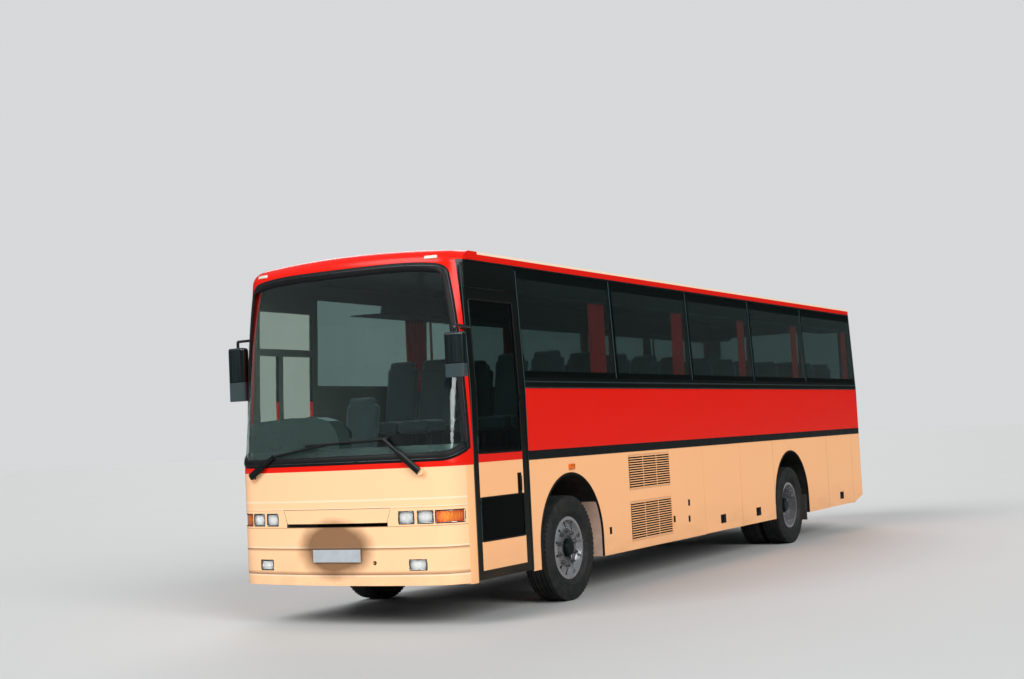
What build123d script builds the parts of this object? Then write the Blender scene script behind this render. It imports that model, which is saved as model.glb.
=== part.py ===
from build123d import *
from functools import cache
import math
import os

# A 12 m high-floor touring coach. Millimetres. It faces -Y, its door side is +X, the road is Z = 0.

# Overall sizes
LENGTH = 12000.0
WIDTH = 2500.0
HEIGHT = 3375.0
SKIRT = 370.0
NOSE_SHIFT = 30.0
WALL = 45.0
GLASS = 8.0
SEAL = 6.0
RUN_GAP = 8.0
SEAT_GAP = 0.3

# Body outline seen from above and from the side
NOSE_FLAT = 1000.0
NOSE_BULGE = 100.0
WAIST = 1440.0
LEAN = 225.0
DOME_ROUND = 130.0
REAR_ROUND = 130.0
TAIL_RISE_LENGTH = 530.0
TAIL_RISE = 125.0

# Body outline seen from the front
SHOULDER = 2060.0
CANT_WIDTH = 2390.0
CROWN = 45.0
CANT_ROUND = 120.0
ROOF_SEAM = 3245.0

# Window lines
GLAZE_LOW = 2190.0
GLAZE_HIGH = 3237.0
SIGHT_LOW = 2250.0
SIGHT_HIGH = 3130.0
SCREEN_LOW = 1462.0
SCREEN_HIGH = 3238.0
SCREEN_HALF = 1275.0
SCREEN_TOP_HALF = 1215.0
SCREEN_LOW_ROUND = 190.0
SCREEN_HIGH_ROUND = 240.0
SCREEN_BACK = 360.0
SCREEN_SIDE_ROUND = 110.0
SCREEN_LIP = 28.0

# Axles and wheels
FRONT_AXLE = 2220.0
REAR_OVERHANG = 3320.0
TYRE_RADIUS = 515.0
TYRE_WIDTH = 276.0
RIM_RADIUS = 288.0
RIM_EDGE = 306.0
RIM_HALF = 106.0
RIM_FLANGE = 8.0
WHEEL_FACE = 1226.0
TWIN_PITCH = 322.0
KINGPIN_X = 880.0
KINGPIN_RADIUS = 22.0
SPINDLE_RADIUS = 46.0
HUB_CLEARANCE = 0.05
ARCH_HALF = 650.0
ARCH_RISE = 70.0
ARCH_LIP = 20.0
HOUSING_IN = 520.0

# Door in the nearside, ahead of the front wheel
DOOR_FRONT = 413.0
DOOR_WIDTH = 954.0
DOOR_HIGH = 2990.0
DOOR_THICK = 40.0
DOOR_ARM = 550.0
DOOR_SHAFT_X = 1128.0
DOOR_SHAFT_BACK = 110.0

# Side windows: the first five openings share one pitch and the last takes the rest
WINDOW_FIRST = 1390.0
WINDOW_PITCH = 2050.0
WINDOW_COUNT = 5
WINDOW_LAST = 130.0
POST = 70.0

# Luggage flaps and side grilles, each measured back from the front axle or the tail
FLAP_HIGH = 1388.0
FLAP_THICK = 38.0
MID_FLAP_LENGTH = 1190.0
FLAP_SPACE = 12.0
TAIL_FLAP_END = 545.0
GRILLE_BACK = 1340.0
GRILLE_LENGTH = 1085.0
GRILLE_FRAME = 22.0
SLAT_THICK = 6.0

# Boot lid and rear window
BOOT_HALF = 820.0
BOOT_LOW = 800.0
BOOT_HIGH = 1760.0
REAR_GLASS_HALF = 1030.0
REAR_GLASS_LOW = 2120.0
REAR_GLASS_HIGH = 3090.0

# Floor, frame and machinery
DECK = 1400.0
DECK_THICK = 60.0
CAB_FLOOR = 1000.0
CAB_BACK = 1450.0
PLATE = 30.0
STEP_LOW = 425.0
STEP_GOING = 235.0
AISLE_WELL = 300.0
RAIL_IN = 390.0
RAIL_WIDTH = 70.0
RAIL_LOW = 760.0
ENGINE_BACK = 1400.0
ENGINE_LENGTH = 1500.0
ENGINE_LOW = 430.0

# Seats
ROW_FIRST = 2000.0
ROW_PITCH = 790.0
ROW_COUNT = 12
SEAT_PAIR = 850.0
AISLE = 420.0
CUSHION_HIGH = 450.0
BACK_HIGH = 1120.0

RAIL_HIGH = CAB_FLOOR - PLATE
FRONT = -LENGTH / 2 + NOSE_SHIFT
REAR = FRONT + LENGTH
HALF = WIDTH / 2
NOSE_ARC = (NOSE_FLAT**2 + NOSE_BULGE**2) / (2 * NOSE_BULGE)
NOSE_TURN = math.asin(NOSE_FLAT / NOSE_ARC)
CORNER_ARC = (HALF - NOSE_FLAT) / (1 - math.sin(NOSE_TURN))
NOSE_END = FRONT + NOSE_BULGE + CORNER_ARC * math.cos(NOSE_TURN)
LEAN_SLOPE = LEAN / (SCREEN_HIGH - WAIST)
SIDE_SLOPE = (WIDTH - CANT_WIDTH) / 2 / (HEIGHT - CROWN - SHOULDER)
FRONT_AXLE_Y = FRONT + FRONT_AXLE
REAR_AXLE_Y = REAR - REAR_OVERHANG
ARCH_CENTRE = TYRE_RADIUS + ARCH_RISE
REAR_WALL_START = REAR - REAR_ROUND
DOME_END = FRONT + 720.0
PILLAR_END = FRONT + DOOR_FRONT - RUN_GAP
BUMPER_END = FRONT + 300.0
GLAZE_START = FRONT + WINDOW_FIRST
GLAZE_END = REAR - WINDOW_LAST
BUMPER_LOW = 380.0
BUMPER_CREASE = 476.0
BUMPER_HIGH = 711.0


def block(x, y, z):
    """A box given by its low and high value along each axis."""
    box = Box(x[1] - x[0], y[1] - y[0], z[1] - z[0])
    return box.moved(Location(((x[0] + x[1]) / 2, (y[0] + y[1]) / 2, (z[0] + z[1]) / 2)))


def rod(radius, start, end):
    """A round bar between two points."""
    run = Vector(*end) - Vector(*start)
    return extrude(Plane(origin=start, z_dir=run.normalized()) * Circle(radius), amount=run.length)


def prism_x(points, x):
    """An outline in Y and Z, extruded from one X to another."""
    with BuildSketch(Plane.YZ.offset(x[0])) as outline:
        with BuildLine():
            Polyline(*points, close=True)
        make_face()
    return extrude(outline.sketch, amount=x[1] - x[0])


def prism_y(points, y):
    """An outline in X and Z, extruded from one Y to another."""
    with BuildSketch(Plane(origin=(0, y[0], 0), x_dir=(1, 0, 0), z_dir=(0, -1, 0))) as outline:
        with BuildLine():
            Polyline(*points, close=True)
        make_face()
    return extrude(outline.sketch, amount=-(y[1] - y[0]))


def mirrored(shape):
    return mirror(shape, about=Plane.YZ)


def save(name, *pieces):
    """Writes one sub-part, as a compound of its separate solids."""
    solids = [solid for piece in pieces for solid in piece.solids()]
    export_step(Compound(children=solids), f"parts/{name}.step")


def cross_section(inset, bottom):
    """The body's section across, with upright flanks, leaning window sides and a crowned roof."""
    half = HALF - inset
    top = HEIGHT - inset
    knee = top - CROWN
    knee_x = half - (knee - SHOULDER) * SIDE_SLOPE
    with BuildSketch(Plane.XZ.offset(-REAR - WIDTH)) as section:
        with BuildLine():
            Polyline(
                (-knee_x, knee),
                (-half, SHOULDER),
                (-half, bottom),
                (half, bottom),
                (half, SHOULDER),
                (knee_x, knee),
            )
            ThreePointArc((knee_x, knee), (0, top), (-knee_x, knee))
        make_face()
        fillet([v for v in section.vertices() if abs(v.Z - knee) < 1], CANT_ROUND - inset)
    return section.sketch


def plan_outline(inset, level, tail):
    """The body's outline from above: a long nose arc, two tight corners and straight flanks."""
    arc = NOSE_ARC - inset
    corner = CORNER_ARC - inset
    centre = FRONT + NOSE_ARC
    flank = HALF - inset
    turn = (NOSE_TURN + math.pi / 2) / 2
    knee = (arc * math.sin(NOSE_TURN), centre - arc * math.cos(NOSE_TURN))
    middle = (HALF - CORNER_ARC + corner * math.sin(turn), NOSE_END - corner * math.cos(turn))
    with BuildSketch(Plane.XY.offset(level)) as outline:
        with BuildLine():
            ThreePointArc((-knee[0], knee[1]), (0, centre - arc), knee)
            ThreePointArc(knee, middle, (flank, NOSE_END))
            Polyline((flank, NOSE_END), (flank, tail), (-flank, tail), (-flank, NOSE_END))
            ThreePointArc((-flank, NOSE_END), (-middle[0], middle[1]), (-knee[0], knee[1]))
        make_face()
    return outline.sketch


@cache
def envelope(inset):
    """The whole body as a solid, drawn in by inset, with its leaning nose and rounded ends."""
    bottom = SKIRT - WALL if inset else SKIRT
    length = LENGTH + 2 * WIDTH
    hull = extrude(cross_section(inset, bottom), amount=length)
    lower = extrude(plan_outline(inset, bottom, REAR - inset), amount=WAIST - bottom)
    lean = Vector(0, LEAN_SLOPE, 1)
    rise = HEIGHT + WALL - WAIST
    upper = extrude(plan_outline(inset, WAIST, REAR + LEAN), amount=rise * lean.length, dir=lean)
    upper -= block((-WIDTH, WIDTH), (REAR - inset, REAR + WIDTH), (0, 2 * HEIGHT))
    body = hull & (lower + upper)
    brow = body.edges().filter_by(lambda e: e.center().Z > ROOF_SEAM and e.center().Y < DOME_END)
    brow = brow.filter_by(lambda e: e.bounding_box().size.X > CANT_ROUND / 2)
    body = fillet(brow, DOME_ROUND - inset)
    tail = body.edges().filter_by(lambda e: abs(e.center().Y - (REAR - inset)) < 1)
    tail = tail.filter_by(lambda e: e.center().Z > bottom + 1)
    body = fillet(tail, REAR_ROUND - inset)
    wedge = [(REAR - TAIL_RISE_LENGTH, SKIRT), (REAR + 1, SKIRT + TAIL_RISE), (REAR + 1, 0), (0, 0), (0, SKIRT)]
    if inset == 0:
        body -= prism_x(wedge, (-WIDTH, WIDTH))
    return body


def layer(outer, inner, space):
    """What lies between two depths under the body's skin, within a space."""
    return (envelope(outer) & space) - envelope(inner)


OUTER = envelope(0)
INNER = envelope(WALL)
SHELL = OUTER - INNER


def arch(y, grow, x):
    """A wheel arch opening: a half circle over straight sides, through the given X range."""
    radius = ARCH_HALF + grow
    low = SKIRT - WALL
    with BuildSketch(Plane.YZ.offset(x[0])) as outline:
        with BuildLine():
            Polyline((y - radius, ARCH_CENTRE), (y - radius, low), (y + radius, low), (y + radius, ARCH_CENTRE))
            ThreePointArc((y + radius, ARCH_CENTRE), (y, ARCH_CENTRE + radius), (y - radius, ARCH_CENTRE))
        make_face()
    return extrude(outline.sketch, amount=x[1] - x[0])


def window_posts():
    """Centre of each gap between the side panes, from the front edge of the glazing to its rear."""
    inner = [GLAZE_START + k * WINDOW_PITCH for k in range(1, WINDOW_COUNT)]
    return [GLAZE_START] + inner + [GLAZE_END]


def flap_spans():
    """Front and rear edge of each luggage flap on one side: two between the axles, one behind."""
    mid_end = REAR_AXLE_Y - ARCH_HALF - ARCH_LIP - FLAP_SPACE
    tail_end = REAR - TAIL_FLAP_END
    return {
        "rear": (mid_end - MID_FLAP_LENGTH, mid_end),
        "front": (mid_end - 2 * MID_FLAP_LENGTH - FLAP_SPACE, mid_end - MID_FLAP_LENGTH - FLAP_SPACE),
        "tail": (tail_end - MID_FLAP_LENGTH, tail_end),
    }


# Each side grille: low edge, high edge, number of slats
GRILLES = [(457.0, 880.0, 14), (1000.0, 1377.0, 12)]
GRILLE_START = FRONT_AXLE_Y + GRILLE_BACK
GRILLE_END = GRILLE_START + GRILLE_LENGTH
GRILLE_SPAN = (GRILLE_START, GRILLE_END)


def screen_space(grow):
    """The windscreen's space: its rounded outline seen from the front, which wraps back round both corners."""
    with BuildSketch(Plane(origin=(0, FRONT - WALL, 0), x_dir=(1, 0, 0), z_dir=(0, -1, 0))) as outline:
        with BuildLine():
            Polyline(
                (-SCREEN_HALF - grow, SCREEN_LOW - grow),
                (SCREEN_HALF + grow, SCREEN_LOW - grow),
                (SCREEN_TOP_HALF + grow, SCREEN_HIGH + grow),
                (-SCREEN_TOP_HALF - grow, SCREEN_HIGH + grow),
                close=True,
            )
        make_face()
    seen = extrude(outline.sketch, amount=-(DOME_END - FRONT))
    edges = seen.edges().filter_by(Axis.Y)
    seen = fillet([e for e in edges if e.center().Z < SHOULDER], SCREEN_LOW_ROUND + grow)
    edges = seen.edges().filter_by(Axis.Y)
    seen = fillet([e for e in edges if abs(e.center().Z - SCREEN_HIGH) < 1], SCREEN_HIGH_ROUND + grow)
    ahead = FRONT - WIDTH
    back = FRONT + SCREEN_BACK + grow
    low, high = SCREEN_LOW - grow, SCREEN_HIGH + grow
    side = prism_x([(ahead, low), (back, low), (back, high), (ahead, high)], (-WIDTH, WIDTH))
    corners = [e for e in side.edges().filter_by(Axis.X) if abs(e.center().Y - back) < 1]
    return seen & fillet(corners, SCREEN_SIDE_ROUND + grow)


# Lamps across the front: inner x, outer x, low z, high z
HEADLAMPS = [(667.0, 817.0, 916.0, 1030.0), (847.0, 997.0, 916.0, 1030.0)]
INDICATOR = (1014.0, 1215.0, 916.0, 1030.0)
FOG_LAMP = (753.0, 920.0, 512.0, 607.0)
SLOT = (901.0, 934.0)
SLOT_HALF = 560.0
BAR_HALF = 545.0
BADGE_HALF = 590.0
BADGE_HIGH = 1058.0
GROOVE = 6.0
TOW_X = 413.0
TOW_Z = 581.0
TOW_RADIUS = 20.0


def lamp_space(lamp, grow, y):
    return block((lamp[0] - grow, lamp[1] + grow), y, (lamp[2] - grow, lamp[3] + grow))


def front_parts():
    """The painted panel under the windscreen, the bumper, the windscreen and its surround."""
    ahead = (FRONT - WIDTH, BUMPER_END)
    wide = (-WIDTH, WIDTH)
    nose = (FRONT - WIDTH, BUMPER_END - SEAT_GAP)
    panel = SHELL & block(wide, ahead, (BUMPER_HIGH, SCREEN_LOW - SCREEN_LIP))
    lamps = []
    for lamp in HEADLAMPS + [INDICATOR]:
        body = layer(SEAL, WALL, lamp_space(lamp, -SEAT_GAP, nose))
        lamps += [body, mirrored(body)]
        hole = lamp_space(lamp, 0, nose)
        panel -= hole
        panel -= mirrored(hole)
    panel -= block((-SLOT_HALF, SLOT_HALF), ahead, SLOT)
    level = (SLOT[0] + SLOT[1]) / 2
    bar = [(-BAR_HALF, level), (BAR_HALF, level), (BADGE_HALF, BADGE_HIGH), (-BADGE_HALF, BADGE_HIGH)]
    rim = [(-BAR_HALF - GROOVE, level), (BAR_HALF + GROOVE, level)]
    rim += [(BADGE_HALF + GROOVE, BADGE_HIGH + GROOVE), (-BADGE_HALF - GROOVE, BADGE_HIGH + GROOVE)]
    groove = prism_y(rim, ahead) - prism_y(bar, ahead)
    panel -= groove - envelope(GLASS)
    bumper = SHELL & block(wide, ahead, (BUMPER_LOW, BUMPER_HIGH - GROOVE))
    bumper -= block(wide, ahead, (BUMPER_CREASE, BUMPER_CREASE + GROOVE)) - envelope(GLASS)
    fog = layer(SEAL, WALL, lamp_space(FOG_LAMP, -SEAT_GAP, nose))
    fog_hole = lamp_space(FOG_LAMP, 0, nose)
    bumper -= fog_hole
    bumper -= mirrored(fog_hole)
    bumper -= rod(TOW_RADIUS, (TOW_X, FRONT - WALL, TOW_Z), (TOW_X, FRONT + 2 * WALL, TOW_Z))
    seat = layer(GLASS, WALL, block(wide, ahead, (BUMPER_HIGH - GROOVE, BUMPER_HIGH)))
    save("front_panel", panel)
    save("front_bumper", bumper + seat)
    save("front_lamps", *lamps, fog, mirrored(fog))

    surround = SHELL & block(wide, (FRONT - WIDTH, PILLAR_END), (SCREEN_LOW - SCREEN_LIP, HEIGHT + WALL))
    surround += SHELL & block(wide, (FRONT - WIDTH, DOME_END), (ROOF_SEAM, HEIGHT + WALL))
    surround -= screen_space(0)
    save("windscreen_surround", surround)
    glass = layer(SEAL, SEAL + GLASS, screen_space(-SEAT_GAP))
    save("windscreen", glass)


def side_wall(side):
    """One flank from the corner post to the rear corner, with every opening cut through it."""
    near = side > 0
    across = (0, WIDTH) if near else (-WIDTH, 0)
    low = SHELL & block(across, (BUMPER_END, REAR_WALL_START), (0, SCREEN_LOW - SCREEN_LIP))
    high = SHELL & block(across, (PILLAR_END, REAR_WALL_START), (SCREEN_LOW - SCREEN_LIP, ROOF_SEAM))
    wall = low + high
    for axle in (FRONT_AXLE_Y, REAR_AXLE_Y):
        wall -= arch(axle, ARCH_LIP, across)
    for low_edge, high_edge, slats in GRILLES:
        wall -= block(across, GRILLE_SPAN, (low_edge, high_edge))
    for start, end in flap_spans().values():
        wall -= block(across, (start - RUN_GAP / 2, end + RUN_GAP / 2), (0, FLAP_HIGH + SEAT_GAP))
    posts = window_posts()
    wall -= block(across, (posts[0], posts[-1]), (GLAZE_LOW, GLAZE_HIGH)) - envelope(GLASS)
    for first, second in zip(posts, posts[1:]):
        wall -= block(across, (first + POST / 2, second - POST / 2), (SIGHT_LOW, SIGHT_HIGH))
    if near:
        opening = (FRONT + DOOR_FRONT - RUN_GAP, FRONT + DOOR_FRONT + DOOR_WIDTH + RUN_GAP)
        wall -= block(across, opening, (0, DOOR_HIGH + RUN_GAP))
    else:
        wall -= block(across, CAB_GLASS_Y, CAB_GLASS_Z) - envelope(GLASS)
        for pane in cab_panes():
            wall -= block(across, *pane)
    save("side_wall_left" if near else "side_wall_right", wall)


CAB_GLASS_Y = (FRONT + 470.0, FRONT + WINDOW_FIRST - 20.0)
CAB_GLASS_Z = (1560.0, GLAZE_HIGH)
CAB_GLASS_BAR = 2575.0
CAB_GLASS_SPLIT = FRONT + 830.0
CAB_SIGHT_HIGH = 2975.0


def cab_panes():
    """Clear openings of the driver's side window: two lower ones, and one above a level bar."""
    margin = POST / 2
    front, rear = CAB_GLASS_Y[0] + margin, CAB_GLASS_Y[1] - margin
    low = (CAB_GLASS_Z[0] + margin, CAB_GLASS_BAR - margin)
    high = (CAB_GLASS_BAR + margin, CAB_SIGHT_HIGH)
    return [((front, CAB_GLASS_SPLIT - margin), low), ((CAB_GLASS_SPLIT + margin, rear), low), ((front, rear), high)]


def side_glass():
    """Bonded panes that lie flush in the shallow rebate round the window openings."""
    posts = window_posts()
    joint = 6.0
    panes = []
    for first, second in zip(posts, posts[1:]):
        span = (first + joint, second - joint)
        pane = layer(1, GLASS, block((0, WIDTH), span, (GLAZE_LOW + SEAT_GAP, GLAZE_HIGH - SEAT_GAP)))
        panes += [pane, mirrored(pane)]
    low = (CAB_GLASS_Z[0] + SEAT_GAP, CAB_GLASS_BAR - joint / 2)
    high = (CAB_GLASS_BAR + joint / 2, CAB_GLASS_Z[1] - SEAT_GAP)
    front, rear = CAB_GLASS_Y[0] + SEAT_GAP, CAB_GLASS_Y[1] - SEAT_GAP
    split = (CAB_GLASS_SPLIT - joint / 2, CAB_GLASS_SPLIT + joint / 2)
    for span, level in (((front, split[0]), low), ((split[1], rear), low), ((front, rear), high)):
        panes.append(layer(1, GLASS, block((-WIDTH, 0), span, level)))
    save("side_windows", *panes)


def side_grilles():
    """Louvred panels behind the front wheel: a frame, two uprights and tilted slats."""
    pieces = []
    face = HALF - 4.0
    back = HALF - WALL + 10.0
    third = (GRILLE_LENGTH - GRILLE_FRAME) / 3
    for low, high, slats in GRILLES:
        inset = SEAT_GAP
        frame = block((back, face), (GRILLE_START + inset, GRILLE_END - inset), (low + inset, high - inset))
        for column in range(3):
            start = GRILLE_START + GRILLE_FRAME + column * third
            frame -= block((0, WIDTH), (start, start + third - GRILLE_FRAME), (low + GRILLE_FRAME, high - GRILLE_FRAME))
        pitch = (high - low - 2 * GRILLE_FRAME) / slats
        tilt = pitch * 0.55
        for row in range(slats):
            z = low + GRILLE_FRAME + pitch * (row + 0.5)
            slat = [
                (back + 4, z + tilt / 2),
                (face - 3, z - tilt / 2),
                (face - 3, z - tilt / 2 + SLAT_THICK),
                (back + 4, z + tilt / 2 + SLAT_THICK),
            ]
            frame += prism_y(slat, (GRILLE_START + GRILLE_FRAME / 2, GRILLE_END - GRILLE_FRAME / 2))
        pieces += [frame, mirrored(frame)]
    save("side_grilles", *pieces)


REAR_LAMP = (1010.0, 1165.0, 930.0, 1390.0)
REAR_BUMPER_HIGH = 770.0


def rear_parts():
    """Rear wall with its window and boot opening, the bumper, lamps, window and boot lid."""
    wide = (-WIDTH, WIDTH)
    behind = (REAR_WALL_START, REAR + WIDTH)
    past = (REAR - WALL - 5, REAR + WIDTH)
    wall = SHELL & block(wide, behind, (REAR_BUMPER_HIGH, ROOF_SEAM))
    bumper = SHELL & block(wide, behind, (0, REAR_BUMPER_HIGH))
    gap = RUN_GAP
    wall -= block((-BOOT_HALF, BOOT_HALF), behind, (BOOT_LOW, BOOT_HIGH))
    lid = layer(0, DOOR_THICK, block((-BOOT_HALF + gap, BOOT_HALF - gap), past, (BOOT_LOW + gap, BOOT_HIGH - SEAT_GAP)))
    lamps = []
    lamp = layer(0, DOOR_THICK, lamp_space(REAR_LAMP, -SEAT_GAP, behind))
    lamps += [lamp, mirrored(lamp)]
    hole = lamp_space(REAR_LAMP, 0, behind)
    wall -= hole
    wall -= mirrored(hole)
    sill = (REAR_GLASS_LOW, REAR_GLASS_HIGH)
    edge = 45.0
    wall -= block((-REAR_GLASS_HALF, REAR_GLASS_HALF), behind, sill) - envelope(GLASS)
    clear = REAR_GLASS_HALF - edge
    wall -= block((-clear, clear), behind, (sill[0] + edge, sill[1] - edge))
    half = REAR_GLASS_HALF - SEAT_GAP
    pane = layer(1, GLASS, block((-half, half), behind, (sill[0] + SEAT_GAP, sill[1] - SEAT_GAP)))
    save("rear_wall", wall)
    save("rear_bumper", bumper)
    save("rear_window", pane)
    save("rear_lamps", *lamps)
    save("boot_lid", lid)


def roof():
    wide = (-WIDTH, WIDTH)
    save("roof", SHELL & block(wide, (DOME_END, REAR + WIDTH), (ROOF_SEAM, HEIGHT + WALL)))


# Glass openings of the entrance door: low edge, high edge
DOOR_GLASS = [(720.0, 1105.0), (1500.0, 2885.0)]
DOOR_STILE = 88.0
DOOR_LOW = SKIRT + 15.0
# Height of each swing arm, behind the solid bands of the door
DOOR_ARMS = [590.0, 1260.0]
DOOR_SHAFT_Y = FRONT + DOOR_FRONT + DOOR_SHAFT_BACK
DOOR_PIN_Y = DOOR_SHAFT_Y + DOOR_ARM
PIN_RADIUS = 10.0
ARM_RADIUS = 16.0


def entrance_door():
    """A single leaf carried by two swing arms on an upright shaft."""
    y = (FRONT + DOOR_FRONT, FRONT + DOOR_FRONT + DOOR_WIDTH)
    leaf = layer(0, DOOR_THICK, block((0, WIDTH), y, (DOOR_LOW, DOOR_HIGH)))
    inner_y = (y[0] + DOOR_STILE, y[1] - DOOR_STILE)
    panes = []
    depth = 4
    for low, high in DOOR_GLASS:
        leaf -= block((0, WIDTH), inner_y, (low, high))
        span = (inner_y[0] + SEAT_GAP, inner_y[1] - SEAT_GAP)
        panes.append(layer(depth, depth + GLASS, block((0, WIDTH), span, (low + SEAT_GAP, high - SEAT_GAP))))
    inside = HALF - DOOR_THICK
    arms = rod(ARM_RADIUS, (DOOR_SHAFT_X, DOOR_SHAFT_Y, STEP_LOW + SEAT_GAP), (DOOR_SHAFT_X, DOOR_SHAFT_Y, DOOR_HIGH))
    for z in DOOR_ARMS:
        arms += rod(ARM_RADIUS - 3, (DOOR_SHAFT_X, DOOR_SHAFT_Y, z), (DOOR_SHAFT_X, DOOR_PIN_Y, z))
        arms += rod(ARM_RADIUS, (DOOR_SHAFT_X, DOOR_PIN_Y, z - ARM_RADIUS), (DOOR_SHAFT_X, DOOR_PIN_Y, z + ARM_RADIUS))
        arms += rod(PIN_RADIUS, (DOOR_SHAFT_X, DOOR_PIN_Y, z), (DOOR_SHAFT_X, DOOR_PIN_Y, z + 3 * ARM_RADIUS))
        ear_z = (z + ARM_RADIUS + 1, z + 3 * ARM_RADIUS - 2)
        ear = block((DOOR_SHAFT_X - 24, inside), (DOOR_PIN_Y - 24, DOOR_PIN_Y + 24), ear_z)
        ear -= rod(PIN_RADIUS + HUB_CLEARANCE, (DOOR_SHAFT_X, DOOR_PIN_Y, z), (DOOR_SHAFT_X, DOOR_PIN_Y, z + 100))
        leaf += ear
    save("entrance_door", leaf)
    save("entrance_door_glass", *panes)
    save("door_arms", arms)


def luggage_flaps():
    for name, (start, end) in flap_spans().items():
        flap = layer(0, FLAP_THICK, block((0, WIDTH), (start, end), (SKIRT + 5, FLAP_HIGH)))
        save(f"luggage_flap_left_{name}", flap)
        save(f"luggage_flap_right_{name}", mirrored(flap))


def saloon_floor():
    """Deck panels, lower cab floor, entrance steps between side plates, and the risers between levels."""
    inner = HALF - WALL
    gap = SEAT_GAP
    front = FRONT + DOOR_FRONT - RUN_GAP
    back = FRONT + CAB_BACK - PLATE
    behind = back + PLATE
    under = DECK - DECK_THICK
    well_end = back + AISLE_WELL
    half_aisle = AISLE / 2
    pieces = [INNER & block((-WIDTH, WIDTH), (well_end, REAR), (under, DECK))]
    for side in (-1, 1):
        x = sorted((side * half_aisle, side * inner))
        pieces.append(block(x, (behind + gap, well_end - gap), (under, DECK)))
        pieces.append(block(x, (back, behind), (CAB_FLOOR - PLATE, DECK)))
    floor_end = inner - 3 * STEP_GOING
    pieces.append(block((-inner, floor_end), (front, back - gap), (CAB_FLOOR - PLATE, CAB_FLOOR)))
    rise = (CAB_FLOOR - STEP_LOW) / 3
    y = (front + gap, back - gap)
    for step in range(3):
        x = floor_end + step * STEP_GOING
        top = CAB_FLOOR - step * rise
        tread = top - rise
        pieces.append(block((x - PLATE, x), y, (tread - PLATE, top - PLATE - gap)))
        pieces.append(block((x + gap, x + STEP_GOING), y, (tread - PLATE, tread)))
    well_x = (floor_end - PLATE, inner)
    pieces.append(block(well_x, (back, behind), (STEP_LOW - PLATE, CAB_FLOOR - PLATE - gap)))
    pieces.append(INNER & block(well_x, (front - PLATE, front), (STEP_LOW - PLATE, CAB_FLOOR)))
    aisle = (-half_aisle + gap, half_aisle - gap)
    level = (CAB_FLOOR + DECK) / 2
    pieces.append(block(aisle, (back, behind), (CAB_FLOOR - PLATE, level)))
    pieces.append(block(aisle, (behind + gap, well_end + PLATE), (level - PLATE, level)))
    pieces.append(block(aisle, (well_end, well_end + PLATE), (level + gap, under - gap)))
    save("saloon_floor", *pieces)


def wheel_housings():
    """Black liners: an arched tunnel over each wheel, closed at its inboard end."""
    pieces = []
    for axle, inboard in ((FRONT_AXLE_Y, HOUSING_IN), (REAR_AXLE_Y, HOUSING_IN)):
        span = (inboard, HALF + 1)
        liner = arch(axle, ARCH_LIP, span) - arch(axle, 0, (inboard + ARCH_LIP, WIDTH))
        liner -= block((0, WIDTH), (axle - WIDTH, axle + WIDTH), (0, SKIRT))
        slot = 130.0
        liner -= block((0, inboard + 2 * ARCH_LIP), (axle - slot, axle + slot), (0, TYRE_RADIUS + 2 * slot))
        pieces += [liner, mirrored(liner)]
    save("wheel_housings", *pieces)


BULKHEADS = [
    FRONT_AXLE_Y - ARCH_HALF - ARCH_LIP - PLATE,
    FRONT_AXLE_Y + ARCH_HALF + ARCH_LIP,
    GRILLE_END + 60.0,
    REAR_AXLE_Y - ARCH_HALF - ARCH_LIP - PLATE,
    REAR_AXLE_Y + ARCH_HALF + ARCH_LIP,
    REAR - TAIL_FLAP_END + FLAP_SPACE,
]


JACKING_PLACES = (FRONT_AXLE_Y + 560.0, REAR_AXLE_Y - 560.0)
PAD_HALF = 60.0
PAD_THICK = 12.0


def chassis():
    """Two long rails with jacking pads, cross frames up to the deck, and the engine between the rails."""
    inner = HALF - WALL
    outboard = RAIL_IN + RAIL_WIDTH
    gap = SEAT_GAP
    ends = (FRONT + 350.0, REAR - 300.0)
    pieces = []
    for side in (-1, 1):
        x = sorted((side * RAIL_IN, side * outboard))
        pieces.append(block(x, ends, (RAIL_LOW, RAIL_HIGH)))
        for y in JACKING_PLACES:
            pieces.append(block(x, (y - PAD_HALF, y + PAD_HALF), (RAIL_LOW - PAD_THICK, RAIL_LOW - gap)))
    for y in BULKHEADS:
        span = (y, y + PLATE)
        middle = AISLE / 2 if y < FRONT_AXLE_Y else gap / 2
        for side in (-1, 1):
            x = sorted((side * (outboard + gap), side * inner))
            pieces.append(block(x, span, (RAIL_LOW, RAIL_HIGH)))
            x = sorted((side * middle, side * inner))
            pieces.append(block(x, span, (RAIL_HIGH + gap, DECK - DECK_THICK)))
    between = (-RAIL_IN + gap, RAIL_IN - gap)
    for y in (ends[0], ends[1] - PLATE):
        pieces.append(block(between, (y, y + PLATE), (RAIL_LOW, RAIL_HIGH)))
    save("chassis_frame", *pieces)
    start = FRONT_AXLE_Y + ENGINE_BACK
    save("engine", block((-RAIL_IN, RAIL_IN), (start, start + ENGINE_LENGTH), (ENGINE_LOW, RAIL_HIGH)))


def luggage_bays():
    """Open-sided trays behind the flaps: floor, back and ends, one tray for each hold."""
    spans = flap_spans()
    inner = HALF - WALL
    back = RAIL_IN + RAIL_WIDTH
    sheet = PLATE / 2
    low = SKIRT + 40.0
    walls = (low + sheet + SEAT_GAP, DECK - DECK_THICK)
    mid = (spans["front"][0] - sheet, REAR_AXLE_Y - ARCH_HALF - ARCH_LIP - PLATE)
    tail = (REAR_AXLE_Y + ARCH_HALF + ARCH_LIP + PLATE, spans["tail"][1])
    pieces = []
    for start, end in (mid, tail):
        tray = [
            block((back, inner), (start, end), (low, low + sheet)),
            block((back, back + sheet), (start, end), walls),
            block((back + sheet + SEAT_GAP, inner), (start, start + sheet), walls),
            block((back + sheet + SEAT_GAP, inner), (end - sheet, end), walls),
        ]
        pieces += tray + [mirrored(sheet_part) for sheet_part in tray]
    save("luggage_bays", *pieces)


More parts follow.
